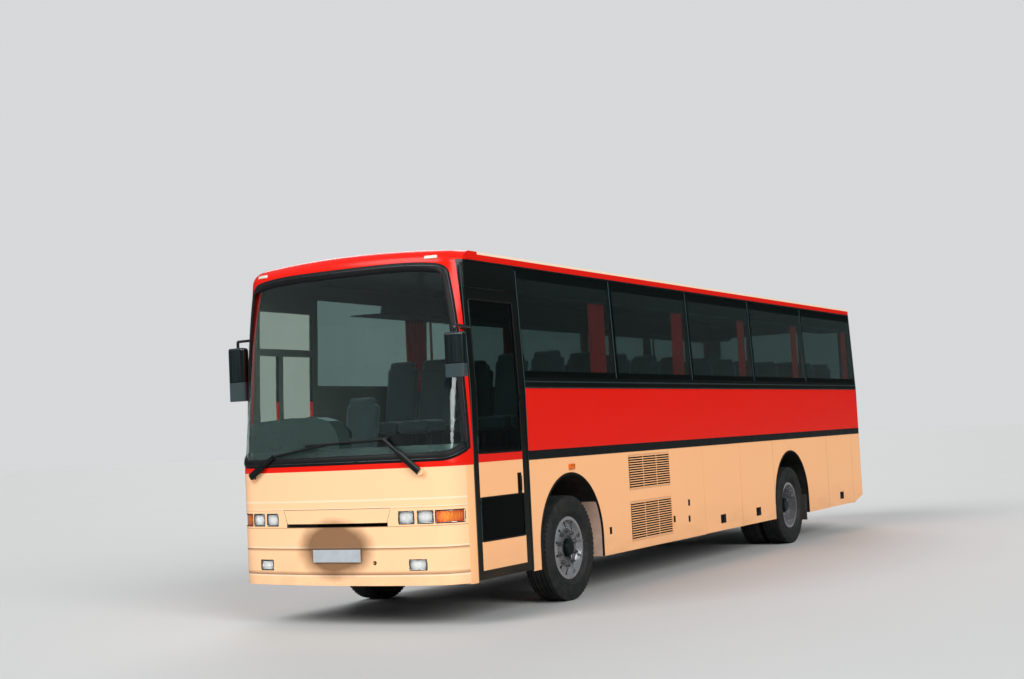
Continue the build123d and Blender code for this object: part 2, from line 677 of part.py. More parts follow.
def revolve_x(profile, x):
    """Turns a profile of (x, radius) points about the wheel's own axle line."""
    with BuildSketch(Plane.XY) as outline:
        with BuildLine():
            Polyline(*profile, close=True)
        make_face()
    turned = revolve(outline.sketch, axis=Axis.X)
    return turned.moved(Location((x, 0, 0)))


def tyre(x):
    """A low-profile tyre with a flat tread, rounded shoulders and bulged walls, about its axle."""
    half = TYRE_WIDTH / 2
    bead = RIM_HALF - RIM_FLANGE - SEAT_GAP
    seat = (bead, RIM_EDGE + 4)
    belly = (half, (RIM_EDGE + TYRE_RADIUS) / 2)
    shoulder = (half - 12, TYRE_RADIUS - 22)
    crown = (half - 32, TYRE_RADIUS - 1)
    with BuildSketch(Plane.XY) as outline:
        with BuildLine() as right:
            Polyline((0, RIM_RADIUS), (bead, RIM_RADIUS), seat)
            ThreePointArc(seat, belly, shoulder)
            ThreePointArc(shoulder, (half - 17, TYRE_RADIUS - 8), crown)
            Polyline(crown, (0, TYRE_RADIUS))
            mirror(right.line, about=Plane.YZ)
        make_face()
    return revolve(outline.sketch, axis=Axis.X).moved(Location((x, 0, 0)))


SLOT_COUNT = 10
SLOT_REACH = (205.0, 262.0)
SLOT_WIDE = 16.0


def rim(face, hub, out):
    """A steel wheel: rim well, dished disc with radial slots, and a hub bored for its spindle.

    face is the disc's place from the wheel's centre plane, hub the hub's two ends, out its cap.
    """
    half = RIM_HALF
    edge = RIM_EDGE
    bead = RIM_RADIUS
    bore = SPINDLE_RADIUS + HUB_CLEARANCE
    barrel = revolve_x(
        [
            (-half, edge), (-half + RIM_FLANGE, edge), (-half + RIM_FLANGE, bead - SEAT_GAP),
            (half - RIM_FLANGE, bead - SEAT_GAP), (half - RIM_FLANGE, edge), (half, edge), (half, bead - 14), (-half, bead - 14),
        ],
        0,
    )
    flange = bead - 14
    disc = revolve_x(
        [
            (face - 60, flange), (face - 30, flange), (face, flange - 70), (face, 150),
            (face + 14, 110), (hub[1], 105), (hub[1], bore), (hub[0], bore), (hub[0], 105), (face - 14, 140),
            (face - 14, flange - 76), (face - 60, flange - 22),
        ],
        0,
    )
    slot = block((face - 100, face + 100), (-SLOT_WIDE / 2, SLOT_WIDE / 2), SLOT_REACH)
    for turn in range(SLOT_COUNT):
        disc -= slot.rotate(Axis.X, 360 / SLOT_COUNT * turn)
    cap = revolve_x([(hub[1], 0), (hub[1], 92), (out - 14, 88), (out, 70), (out, 0)], 0)
    return barrel + disc + cap


def wheels():
    """Single wheels in front and twins behind, each pair of sides a mirror image."""
    centre = WHEEL_FACE - TYRE_WIDTH / 2
    place = Location((0, FRONT_AXLE_Y, TYRE_RADIUS))
    front_tyre = tyre(centre).moved(place)
    front_rim = rim(82, (-60, 84), 128).moved(Location((centre, 0, 0))).moved(place)
    save("tyre_front_left", front_tyre)
    save("tyre_front_right", mirrored(front_tyre))
    save("rim_front_left", front_rim)
    save("rim_front_right", mirrored(front_rim))
    place = Location((0, REAR_AXLE_Y, TYRE_RADIUS))
    inner = centre - TWIN_PITCH
    tyres = [tyre(centre).moved(place), tyre(inner).moved(place)]
    outer_rim = rim(-60, (-116, 40), 70).moved(Location((centre, 0, 0))).moved(place)
    half = RIM_HALF
    bead = RIM_RADIUS
    joined = revolve_x(
        [
            (-half, bead - SEAT_GAP), (half - 8, bead - SEAT_GAP), (TWIN_PITCH - 80, bead - 60),
            (TWIN_PITCH - 80, 140), (TWIN_PITCH - 118, 140), (TWIN_PITCH - 118, SPINDLE_RADIUS + HUB_CLEARANCE),
            (TWIN_PITCH - 200, SPINDLE_RADIUS + HUB_CLEARANCE), (TWIN_PITCH - 200, 140), (TWIN_PITCH - 92, 160),
            (TWIN_PITCH - 96, bead - 66), (half - 14, bead - 14), (-half, bead - 14),
        ],
        inner,
    ).moved(place)
    save("tyres_rear_left", *tyres)
    save("tyres_rear_right", *[mirrored(t) for t in tyres])
    save("rims_rear_left", outer_rim + joined)
    save("rims_rear_right", mirrored(outer_rim + joined))


BOSS_HALF = 48.0
BELLOWS_RADIUS = 105.0


def axles():
    """Dropped front beam with kingpin bosses, the swivelling knuckles and the driven rear axle."""
    z = TYRE_RADIUS
    centre = WHEEL_FACE - TYRE_WIDTH / 2
    beam = prism_y(
        [
            (-KINGPIN_X, z - 40), (-KINGPIN_X, z + 40), (-KINGPIN_X + 130, z + 30), (-KINGPIN_X + 300, z - 30),
            (KINGPIN_X - 300, z - 30), (KINGPIN_X - 130, z + 30), (KINGPIN_X, z + 40), (KINGPIN_X, z - 40),
            (KINGPIN_X - 110, z - 50), (KINGPIN_X - 290, z - 120), (-KINGPIN_X + 290, z - 120),
            (-KINGPIN_X + 110, z - 50),
        ],
        (FRONT_AXLE_Y - 45, FRONT_AXLE_Y + 45),
    )
    for side in (-1, 1):
        x = side * KINGPIN_X
        beam += rod(46, (x, FRONT_AXLE_Y, z - BOSS_HALF), (x, FRONT_AXLE_Y, z + BOSS_HALF))
        pin = KINGPIN_RADIUS + HUB_CLEARANCE
        beam -= rod(pin, (x, FRONT_AXLE_Y, z - 2 * BOSS_HALF), (x, FRONT_AXLE_Y, z + 2 * BOSS_HALF))
        rail = side * (RAIL_IN + RAIL_WIDTH / 2)
        beam += rod(BELLOWS_RADIUS, (rail, FRONT_AXLE_Y, z - 31), (rail, FRONT_AXLE_Y, RAIL_LOW))
    save("front_axle", beam)

    lug = BOSS_HALF + 1
    knuckle = rod(KINGPIN_RADIUS, (KINGPIN_X, FRONT_AXLE_Y, z - lug - 20), (KINGPIN_X, FRONT_AXLE_Y, z + lug + 20))
    for level in ((z - lug - 25, z - lug), (z + lug, z + lug + 25)):
        knuckle += block((KINGPIN_X - 42, KINGPIN_X + 78), (FRONT_AXLE_Y - 42, FRONT_AXLE_Y + 42), level)
    knuckle += block(
        (KINGPIN_X + 54, KINGPIN_X + 78), (FRONT_AXLE_Y - 60, FRONT_AXLE_Y + 60), (z - lug - 25, z + lug + 25)
    )
    knuckle += rod(SPINDLE_RADIUS, (KINGPIN_X + 70, FRONT_AXLE_Y, z), (centre + 80, FRONT_AXLE_Y, z))
    save("knuckle_left", knuckle)
    save("knuckle_right", mirrored(knuckle))

    reach = centre + 30
    rear = rod(SPINDLE_RADIUS, (-reach, REAR_AXLE_Y, z), (reach, REAR_AXLE_Y, z))
    tube = centre - TWIN_PITCH - TYRE_WIDTH / 2 + 20
    rear += rod(72, (-tube, REAR_AXLE_Y, z), (tube, REAR_AXLE_Y, z))
    rear += rod(190, (-85, REAR_AXLE_Y, z), (85, REAR_AXLE_Y, z))
    for side in (-1, 1):
        rail = side * (RAIL_IN + RAIL_WIDTH / 2)
        rear += rod(BELLOWS_RADIUS - 10, (rail, REAR_AXLE_Y, z + 40), (rail, REAR_AXLE_Y, RAIL_LOW))
    engine_end = FRONT_AXLE_Y + ENGINE_BACK + ENGINE_LENGTH
    rear += rod(48, (0, REAR_AXLE_Y, z + 20), (0, engine_end, z + 20))
    save("rear_axle", rear)


CAB_SEAT_X = -560.0
CAB_SEAT_Y = FRONT + 770.0
WHEEL_TILT = 62.0
STEER_RADIUS = 240.0
STEER_Y = FRONT + 690.0
STEER_Z = CAB_FLOOR + 790.0


def seat_profile(y, floor):
    """Side view of one seat: pedestal, cushion and a reclined back, at a row's front edge y."""
    cushion = floor + CUSHION_HIGH
    top = floor + BACK_HIGH
    return [
        (y + 120, floor), (y + 340, floor), (y + 340, cushion - 130), (y + 470, cushion - 130),
        (y + 640, top), (y + 520, top), (y + 400, cushion), (y, cushion), (y, cushion - 130), (y + 120, cushion - 130),
    ]


def seats():
    """Twelve rows of double seats each side of the aisle, and the driver's own seat."""
    pairs = []
    for row in range(ROW_COUNT):
        profile = seat_profile(FRONT + ROW_FIRST + row * ROW_PITCH, DECK)
        pair = prism_x(profile, (AISLE / 2 + 40, AISLE / 2 + 40 + SEAT_PAIR))
        pairs += [pair, mirrored(pair)]
    save("passenger_seats", *pairs)
    driver = prism_x(seat_profile(CAB_SEAT_Y, CAB_FLOOR), (CAB_SEAT_X - 245, CAB_SEAT_X + 245))
    save("driver_seat", driver)


DASH_TOP = 1600.0
DASH_DEPTH = 520.0
HUMP_DEPTH = 440.0


def dashboard():
    """The shelf under the windscreen, with a rounded instrument hump ahead of the driver."""
    inside = envelope(WALL + 1)
    shelf = inside & block((-WIDTH, WIDTH), (FRONT, FRONT + 360.0), (DASH_TOP - 330.0, DASH_TOP))
    # Top line of the hump, from the offside wall to the middle: x, height over the shelf
    top = [(-WIDTH / 2, 262), (-1050, 285), (-640, 308), (-350, 300), (-210, 262), (-130, 180), (-95, 80), (-80, -300)]
    outline = [(x, DASH_TOP + rise) for x, rise in top] + [(-WIDTH / 2, DASH_TOP - 300)]
    hump = prism_y(outline, (FRONT + 250.0, FRONT + HUMP_DEPTH))
    desk = (FRONT + 340.0, FRONT + DASH_DEPTH)
    legs = block((CAB_SEAT_X - 250, CAB_SEAT_X + 250), desk, (CAB_FLOOR, DASH_TOP))
    save("dashboard", shelf + (hump & inside) + legs)
    tilt = math.radians(WHEEL_TILT)
    axis = Vector(0, math.cos(tilt), math.sin(tilt))
    hub = Vector(CAB_SEAT_X, STEER_Y, STEER_Z)
    plane = Plane(origin=hub, z_dir=axis)
    ring = plane * Torus(STEER_RADIUS, 15)
    wheel = ring
    for turn in (90, 210, 330):
        angle = math.radians(turn)
        tip = plane.from_local_coords(Vector(STEER_RADIUS * math.cos(angle), STEER_RADIUS * math.sin(angle), 0))
        wheel += rod(10, tuple(hub), tuple(tip))
    foot = hub - axis * ((STEER_Z - DASH_TOP + 30) / math.sin(tilt))
    wheel += rod(45, tuple(hub - axis * 25), tuple(hub + axis * 15))
    save("steering_wheel", wheel)
    post_top = hub - axis * 26
    post = rod(32, tuple(foot), tuple(post_top))
    post += rod(32, tuple(foot), tuple(foot + (Vector(CAB_SEAT_X, FRONT + DASH_DEPTH - 40, DASH_TOP - 60) - foot)))
    save("steering_column", post - (shelf + (hump & inside) + legs))


RACK_LOW = 2985.0
RACK_IN = 740.0
RACK_END = 25.0


def racks_and_curtains():
    """Luggage racks along both sides, and the drawn-back curtains that hang below them."""
    profile = [
        (WIDTH, RACK_LOW), (RACK_IN + 30, RACK_LOW), (RACK_IN, RACK_LOW + 25), (RACK_IN, RACK_LOW + 90),
        (RACK_IN + 22, RACK_LOW + 90), (RACK_IN + 40, RACK_LOW + 5), (WIDTH, RACK_LOW + 30),
    ]
    rack = INNER & prism_y(profile, (FRONT + ROW_FIRST, GLAZE_END - RACK_END))
    save("luggage_racks", rack, mirrored(rack))
    pieces = []
    wall_x = HALF - WALL - (RACK_LOW - SHOULDER) * SIDE_SLOPE
    x = (wall_x - 52, wall_x - 7)
    z = (SIGHT_LOW - 60, RACK_LOW - SEAT_GAP)
    # Width of the curtain gathered ahead of each post and of the strip behind it, from the front window on
    for y, gather, strip in zip(window_posts()[1:], (450.0, 330.0, 300.0, 300.0, 250.0), (100.0, 100.0, 100.0, 100.0, 0.0)):
        curtain = block(x, (y - gather, y - POST / 2), z)
        pieces += [curtain, mirrored(curtain)]
        if strip:
            curtain = block(x, (y + POST / 2, y + strip), z)
            pieces += [curtain, mirrored(curtain)]
    save("curtains", *pieces)


MIRROR_OUT = 1365.0
MIRROR_HEAD = (195.0, 90.0, 390.0)
MIRROR_Z = 2365.0
MIRROR_ROOT = 110.0


def mirrors():
    """Hanging mirrors: the nearside one ahead of the corner, the offside one beside it."""
    pieces = []
    # Side, centre x, centre y, centre z, head width, head height
    root = FRONT + SCREEN_BACK + (DOOR_FRONT - RUN_GAP - SCREEN_BACK) / 2
    for side, x, y, z, wide, high in (
        (1, MIRROR_OUT, FRONT + 5.0, MIRROR_Z, MIRROR_HEAD[0], MIRROR_HEAD[2]),
        (-1, -MIRROR_OUT, FRONT + 395.0, MIRROR_Z, 200.0, 520.0),
    ):
        head = Box(wide, MIRROR_HEAD[1], high)
        head = fillet(head.edges().filter_by(Axis.Z), 30)
        head = fillet(head.edges().group_by(Axis.Z)[-1], 25).moved(Location((x, y, z)))
        top = z + high / 2
        body_x = side * (HALF - (top + 60 - SHOULDER) * SIDE_SLOPE)
        path = FilletPolyline(
            (x, y, top - 30),
            (x, y, top + 60),
            (side * (HALF + 40), root, top + 60),
            (body_x - side * MIRROR_ROOT, root, top + 60),
            radius=(25, 18) if side > 0 else (15, 5),
        )
        arm = sweep(Plane(origin=path @ 0, z_dir=path % 0) * Circle(14), path=path)
        pieces.append(head + arm - OUTER)
    save("mirrors", *pieces)


def nose_y(x, z):
    """Where the front skin is, at a place seen from the front."""
    back = NOSE_ARC - math.sqrt(NOSE_ARC**2 - x**2)
    return FRONT + back + max(0.0, z - WAIST) * LEAN_SLOPE


def wipers():
    """Two arms from spindles under the windscreen, each with a long blade lying low on the glass."""
    pieces = []
    # Spindle x and z, elbow x and z, blade's two ends in x and their heights
    for spindle, elbow, first, second in (
        ((908.0, 1374.0), (552.0, 1668.0), (590.0, 1670.0), (-300.0, 1642.0)),
        ((-985.0, 1375.0), (-690.0, 1556.0), (-730.0, 1550.0), (-60.0, 1646.0)),
    ):
        stand = 24.0
        foot = (spindle[0], nose_y(*spindle) - stand, spindle[1])
        knee = (elbow[0], nose_y(*elbow) - stand, elbow[1])
        arm = rod(26, (foot[0], foot[1] + stand, foot[2]), (foot[0], foot[1] - 12, foot[2]))
        arm += rod(15, foot, knee)
        half = ((first[0] + second[0]) / 2, (first[1] + second[1]) / 2)
        middle = (half[0], nose_y(*half) - stand, half[1])
        arm += rod(11, knee, middle)
        for end in (first, second):
            arm += rod(9, middle, (end[0], nose_y(*end) - stand + 6, end[1]))
        pieces.append(arm - OUTER)
    save("wipers", *pieces)


os.makedirs("parts", exist_ok=True)
front_parts()
side_wall(1)
side_wall(-1)
side_glass()
side_grilles()
rear_parts()
roof()
entrance_door()
luggage_flaps()
saloon_floor()
wheel_housings()
chassis()
luggage_bays()
wheels()
axles()
seats()
dashboard()
racks_and_curtains()
mirrors()
wipers()
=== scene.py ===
"""The looks of a 12 m touring coach, laid out as an add-on and run as a script.

Everything is in metres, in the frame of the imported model: forward is -Y, the door side is +X, the road is Z = 0.
Places along the coach are given from its front.
"""

import math

import bmesh
import bpy
from bpy.props import FloatProperty, FloatVectorProperty, IntProperty, PointerProperty
from bpy.types import Operator, Panel, PropertyGroup
from mathutils import Matrix, Vector
from mathutils.bvhtree import BVHTree


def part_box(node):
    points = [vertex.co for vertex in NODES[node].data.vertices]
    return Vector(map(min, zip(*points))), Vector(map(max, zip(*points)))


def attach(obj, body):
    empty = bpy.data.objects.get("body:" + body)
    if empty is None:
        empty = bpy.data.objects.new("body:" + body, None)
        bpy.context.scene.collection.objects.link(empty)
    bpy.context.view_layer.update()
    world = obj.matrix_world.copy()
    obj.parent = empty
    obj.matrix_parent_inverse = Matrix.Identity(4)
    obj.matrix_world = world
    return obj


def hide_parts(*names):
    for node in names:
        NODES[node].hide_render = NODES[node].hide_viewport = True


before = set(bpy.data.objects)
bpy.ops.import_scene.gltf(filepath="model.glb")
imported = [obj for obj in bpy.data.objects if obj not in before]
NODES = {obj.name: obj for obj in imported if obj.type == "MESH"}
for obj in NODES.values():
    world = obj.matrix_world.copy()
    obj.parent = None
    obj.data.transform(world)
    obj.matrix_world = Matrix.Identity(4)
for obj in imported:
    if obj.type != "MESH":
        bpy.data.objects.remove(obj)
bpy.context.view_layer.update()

bl_info = {
    "name": "Touring coach finish",
    "version": (1, 0, 0),
    "blender": (4, 5, 0),
    "location": "3D View > Sidebar > Coach",
    "description": "Paint, glass, wheels, trim and soft goods for a touring coach",
    "category": "Object",
}


def middle_y(node):
    low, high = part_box(node)
    return (low.y + high.y) / 2


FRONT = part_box("front_bumper")[0].y
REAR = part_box("rear_wall")[1].y
HALF_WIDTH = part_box("side_wall_left")[1].x
FRONT_AXLE = middle_y("tyre_front_left")
REAR_AXLE = middle_y("tyres_rear_left")
WHEEL_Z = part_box("tyre_front_left")[1].z / 2

# Heights of the paint's and the windows' lines
BELT_LOW, BELT_HIGH = 1.408, 1.494
NOSE_RED = 1.407
SILL_LOW, SILL_LINE = 2.088, 2.147
GLASS_LOW, GLAZING_TOP = 2.190, 3.238
ROOF_EDGE = 3.306
# Above the shoulder the flank leans in
SHOULDER = 2.060
SIDE_LEAN = 0.0433
# Ends of the doorway, and where the roof's red brow and the cab's windows end
DOOR_FRONT_EDGE, DOOR_REAR_EDGE = 0.400, 1.395
BROW_END = 0.62
CAB_END = 1.38
# The door's coloured panel, its black band, its red band, and the outlines of its two halves
DOOR_PANEL_Y = (0.49, 1.28)
DOOR_PANEL_Z = (0.465, 2.885)
DOOR_BLACK = (0.717, 1.108)
DOOR_RED = (1.42, 1.497)
DOOR_OUTLINES = ((0.720, 1.105), (1.500, 2.885))
PLATE_X, PLATE_Z = 0.02, 0.646
# Reach across and up of the brown cloud about the front plate
CLOUD_WIDE, CLOUD_TALL = 0.42, 0.275
PAINT_ROUGHNESS = 0.24
# Half the blur where one colour ends and the next starts
SOFT_EDGE = 0.0015


def rgb(red, green, blue):
    """A colour in steps from 0 to 255, as the linear values that shaders take."""
    steps = [value / 255 for value in (red, green, blue)]
    return (*[v / 12.92 if v <= 0.04045 else ((v + 0.055) / 1.055) ** 2.4 for v in steps], 1.0)


DUST = rgb(120, 92, 66)
# The brown that the front turns to about its plate
PLATE_CLOUD_BROWN = rgb(92, 58, 30)
LINING = rgb(92, 92, 88)
SHADE_AND_SEAM_BROWN = rgb(120, 70, 36)
LIGHT_EDGE = rgb(255, 236, 214)
ROOF_PAINT = rgb(250, 226, 196)


def colour_property(name, description, default):
    kind = {"subtype": "COLOR", "size": 4, "min": 0, "max": 1}
    return FloatVectorProperty(name=name, description=description, default=default, **kind)


def length_property(name, description, default):
    return FloatProperty(name=name, description=description, default=default, min=0.0001, unit="LENGTH")


def strength_property(name, description, default, **limits):
    return FloatProperty(name=name, description=description, default=default, min=0, **limits)


class CoachColours(PropertyGroup):
    # The flanks' cream and the front's cream are two copies of one paint: the front's is painted paler as painted
    # light, the flanks' more orange as painted shade.
    cream: colour_property("Cream", "Paint of the lower body", rgb(255, 190, 135))
    nose: colour_property("Front cream", "Paint of the front, a little paler", rgb(255, 203, 155))
    red: colour_property("Red", "Paint of the upper body", rgb(226, 24, 8))
    black: colour_property("Black", "Belt, sill and window surrounds", rgb(8, 17, 16))
    rubber: colour_property("Rubber", "Tyres", rgb(19, 24, 23))
    amber: colour_property("Amber", "Lenses of the side repeaters", rgb(255, 120, 10))
    curtain: colour_property("Curtain", "Woven curtain cloth", rgb(232, 20, 22))
    seat: colour_property("Seat", "Seat moquette", rgb(30, 42, 50))
    metal: colour_property("Bright metal", "Polished wheels", rgb(200, 200, 202))


class CoachSizes(PropertyGroup):
    seal_radius: length_property("Windscreen seal", "Half the width of the rubber round the windscreen", 0.044)
    belt_depth: length_property("Belt depth", "How far the belt moulding stands out", 0.006)
    nut_count: IntProperty(name="Wheel nuts", description="Nuts on each wheel", default=10, min=3, max=20)
    nut_circle: length_property("Nut circle", "Radius of the circle that the nuts stand on", 0.1675)
    nut_size: length_property("Nut size", "Half the width of a wheel nut", 0.017)
    curtain_folds: IntProperty(name="Curtain folds", description="Folds in a full curtain", default=5, min=2, max=30)
    fold_depth: length_property("Fold depth", "How deep each curtain fold is", 0.030)
    seat_pressure: strength_property("Seat pressure", "Pressure that plumps the cushions", 4.0, max=20)


class CoachStage(PropertyGroup):
    floor: colour_property("Floor", "Colour of the floor", rgb(205, 205, 203))
    lens: FloatProperty(name="Lens", description="Focal length on a 36 mm sensor", default=52.565, min=5, unit="CAMERA")
    key: strength_property("Key light", "Strength of the lamp on the front", 1.9)
    fill: strength_property("Fill light", "Strength of the lamp on the door side", 2.2)
    back: strength_property("Back light", "Strength of the lamp from behind", 0.7)
    room: strength_property("Room light", "Strength of the light from all round", 0.42)


def tone(name):
    """One of the coach's colours."""
    return getattr(bpy.context.scene.coach_colours, name)[:]


def sizes():
    return bpy.context.scene.coach_sizes


# Materials


class Shading:
    """Adds nodes to a tree, a shader's as it stands."""

    prefix = "ShaderNode"

    def __init__(self, tree):
        self.tree = tree

    def node(self, kind, links=(), **values):
        made = self.tree.nodes.new(self.prefix + kind)
        for key, value in values.items():
            if key in made.bl_rna.properties:
                setattr(made, key, value)
            else:
                made.inputs[key.replace("_", " ")].default_value = value
        for socket, source in links:
            self.put(made.inputs[socket], source)
        return made

    def put(self, socket, source):
        """Links a socket, or sets it where the source is a plain value."""
        if isinstance(source, bpy.types.NodeSocket):
            self.tree.links.new(source, socket)
        else:
            socket.default_value = source

    def mix(self, factor, first, second):
        return self.node("Mix", [("Factor", factor), (6, first), (7, second)], data_type="RGBA").outputs[2]


class Finish(Shading):
    """One procedural material, and the few kinds of node that its colour and grain are made from."""

    def __init__(self, name, colour, roughness=0.5, **sockets):
        self.material = bpy.data.materials.new(name)
        self.material.use_nodes = True
        super().__init__(self.material.node_tree)
        self.shader = self.tree.nodes["Principled BSDF"].inputs
        self.shader["Base Color"].default_value = colour
        self.shader["Roughness"].default_value = roughness
        for socket, value in sockets.items():
            self.shader[socket.replace("_", " ")].default_value = value

    def place(self, stretch=None):
        """Object coordinates, stretched along the axes where a stretch is given."""
        where = self.node("TexCoord").outputs["Object"]
        return self.node("Mapping", [("Vector", where)], Scale=stretch).outputs["Vector"] if stretch else where

    def axis(self, letter):
        return self.node("SeparateXYZ", [(0, self.place())]).outputs[letter]

    def facing(self, letter):
        """One axis of the surface's own normal."""
        normal = self.node("NewGeometry").outputs["Normal"]
        return self.node("SeparateXYZ", [(0, normal)]).outputs[letter]

    def maths(self, operation, first, *others):
        """The operation on one value or two, and then with each further value in turn."""
        total = first
        for other in others or (0.0,):
            total = self.node("Math", [(0, total), (1, other)], operation=operation).outputs[0]
        return total

    def times(self, *values):
        return self.maths("MULTIPLY", *values)

    def off(self, value, middle, reach=1.0):
        """How far a value is from a middle, in shares of a reach."""
        return self.maths("DIVIDE", self.maths("SUBTRACT", value, middle), reach)

    def squares(self, first, second):
        return self.maths("ADD", self.times(first, first), self.times(second, second))

    def span(self, value, low, high, start=0.0, end=1.0):
        """A clamped straight line from start at low to end at high."""
        links = [("Value", value), ("From Min", low), ("From Max", high), ("To Min", start), ("To Max", end)]
        return self.node("MapRange", links).outputs["Result"]

    def above(self, value, edge, soft=SOFT_EDGE):
        return self.span(value, edge - soft, edge + soft)

    def below(self, value, edge, soft=SOFT_EDGE):
        return self.span(value, edge - soft, edge + soft, 1, 0)

    def between(self, value, low, high, soft=SOFT_EDGE):
        return self.times(self.above(value, low, soft), self.below(value, high, soft))

    def noise(self, scale, detail=3.0, stretch=None):
        return self.node("TexNoise", [("Vector", self.place(stretch))], Scale=scale, Detail=detail).outputs["Fac"]

    def patches(self, scale, detail, low, high, start=0.0, end=1.0, stretch=None):
        """Cloudy noise between two clamped values."""
        return self.span(self.noise(scale, detail, stretch), low, high, start, end)

    def waves(self, letter, scale):
        """Even stripes across one axis."""
        return self.node("TexWave", [("Vector", self.place())], bands_direction=letter, Scale=scale).outputs["Fac"]

    def colour(self, source):
        self.put(self.shader["Base Color"], source)

    def rough(self, source):
        self.put(self.shader["Roughness"], source)

    def bump(self, height, strength, distance):
        made = self.node("Bump", [("Height", height)], Strength=strength, Distance=distance)
        self.put(self.shader["Normal"], made.outputs["Normal"])


def shade(colour, factor):
    """The same colour, lighter or darker."""
    return (*[min(1.0, value * factor) for value in colour[:3]], 1.0)


def speckled(name, colour, roughness, scale=60.0, change=0.25, grain=0.3, depth=0.001, **sockets):
    """A plain material with soft cloudy changes of colour and a fine grain."""
    finish = Finish(name, colour, roughness, **{"Specular_IOR_Level": 0.2, **sockets})
    cloud = finish.noise(scale / 12, 4)
    finish.colour(finish.mix(cloud, shade(colour, 1 - change), shade(colour, 1 + change)))
    finish.rough(finish.span(cloud, 0.3, 0.7, max(0.02, roughness - 0.08), min(1.0, roughness + 0.08)))
    finish.bump(finish.noise(scale, 6), grain, depth)
    return finish.material


def paint(name, bands, mask=None, details=()):
    """Body paint in level bands, given as (height where it starts, colour), over a lined inner face.

    mask and each detail get the finish and return (factor, colour) for what lies over the bands: mask under the dust,
    and the details over it.
    """
    finish = Finish(name, bands[0][1], PAINT_ROUGHNESS, Coat_Weight=0.08, Coat_Roughness=0.04, Specular_IOR_Level=0.2)
    height = finish.axis("Z")
    coat = bands[0][1]
    for start, colour in bands[1:]:
        coat = finish.mix(finish.above(height, start), coat, colour)
    if mask:
        factor, colour = mask(finish)
        coat = finish.mix(factor, coat, colour)
    low = finish.span(height, 0.75, 0.35, 0.0, 0.22)
    coat = finish.mix(finish.patches(0.9, 3, 0.3, 0.7, 0.0, 0.03, (1, 0.3, 1)), coat, DUST)
    coat = finish.mix(finish.times(low, finish.patches(5, 5, 0.35, 0.75, stretch=(1, 0.25, 1))), coat, DUST)
    for detail in details:
        factor, colour = detail(finish)
        coat = finish.mix(factor, coat, colour)
    finish.colour(finish.mix(inward_faces(finish), coat, LINING))
    finish.rough(finish.patches(2, 3, 0.3, 0.7, PAINT_ROUGHNESS - 0.03, PAINT_ROUGHNESS + 0.03))
    finish.bump(finish.noise(3, 1), 0.05, 0.004)
    return finish.material


def inward_faces(finish):
    """1 on the faces that look into the coach, 0 outside."""
    parts = []
    for letter, middle, reach in (("X", 0.0, 1.0), ("Y", 0.0, 0.2), ("Z", 1.9, 1.0)):
        away = finish.maths("SUBTRACT", finish.axis(letter), middle)
        parts.append(finish.times(away, reach, finish.facing(letter)))
    return finish.span(finish.maths("ADD", *parts), -0.30, -0.32)


def soot_round_plate(finish):
    """Turns the front brown in a soft round cloud about the front plate."""
    across = finish.off(finish.axis("X"), PLATE_X - 0.03, CLOUD_WIDE)
    up = finish.off(finish.axis("Z"), PLATE_Z + 0.06, CLOUD_TALL)
    far = finish.maths("SQRT", finish.squares(across, up))
    ragged = finish.maths("ADD", far, finish.patches(4, 3, 0.3, 0.7, -0.06, 0.06))
    return finish.span(ragged, 1.08, 0.70, 0.0, 0.82), PLATE_CLOUD_BROWN


def level_lines(finish, lines):
    """The strongest of several level bands, each given as (low, high, softness, strength)."""
    bands = [finish.times(finish.between(finish.axis("Z"), *edges), strength) for *edges, strength in lines]
    return finish.maths("MAXIMUM", *bands)


def ledge_shadows(finish):
    """Painted shade under the bumper's ledges, and dark lines along the seams of the front panel."""
    # The first two bands are painted shade under the ledges; the third band and the lines round the lamp panel are dark
    # seams.
    ledges = ((0.478, 0.500, 0.010, 0.55), (0.692, 0.708, 0.006, 0.5), (0.8955, 0.9005, 0.001, 0.75))
    lines = level_lines(finish, ledges)
    across = finish.maths("ABSOLUTE", finish.axis("X"))
    height = finish.axis("Z")
    ends = finish.times(finish.between(across, 1.238, 1.2425, 0.0008), finish.between(height, 0.900, 1.062))
    top = finish.times(finish.between(height, 1.0575, 1.0610, 0.001), finish.above(across, 0.61))
    return finish.maths("MAXIMUM", lines, finish.times(finish.maths("MAXIMUM", ends, top), 0.6)), SHADE_AND_SEAM_BROWN


def ledge_lights(finish):
    """The lit edges over the seams and the fold across the front."""
    return level_lines(finish, (
        (0.462, 0.474, 0.004, 0.45), (0.715, 0.726, 0.004, 0.45),
        (1.064, 1.072, 0.002, 0.4), (1.130, 1.142, 0.004, 0.55),
    )), LIGHT_EDGE


def door_frame_mask(finish):
    """The black frame of the door, and the black behind its panes."""
    height = finish.axis("Z")
    along = finish.between(finish.axis("Y"), *[FRONT + place for place in DOOR_PANEL_Y])
    band = finish.between(height, *DOOR_BLACK)
    coloured = finish.times(along, finish.between(height, *DOOR_PANEL_Z), finish.maths("SUBTRACT", 1.0, band))
    return finish.maths("SUBTRACT", 1.0, coloured), tone("black")


def doorway_mask(finish):
    """Black on the wall round the doorway."""
    return finish.between(finish.axis("Y"), FRONT + DOOR_FRONT_EDGE, FRONT + DOOR_REAR_EDGE), tone("black")


def corner_red(finish):
    """Red from the front's own line up, on the short corners ahead of the doorway."""
    ahead = finish.below(finish.axis("Y"), FRONT + DOOR_FRONT_EDGE + 0.002)
    return finish.times(ahead, finish.above(finish.axis("Z"), NOSE_RED)), tone("red")


def roof_mask(finish):
    """The pale roof skin, which starts behind the red brow."""
    behind = finish.above(finish.axis("Y"), FRONT + BROW_END, 0.02)
    return finish.times(behind, finish.above(finish.axis("Z"), ROOF_EDGE)), ROOF_PAINT


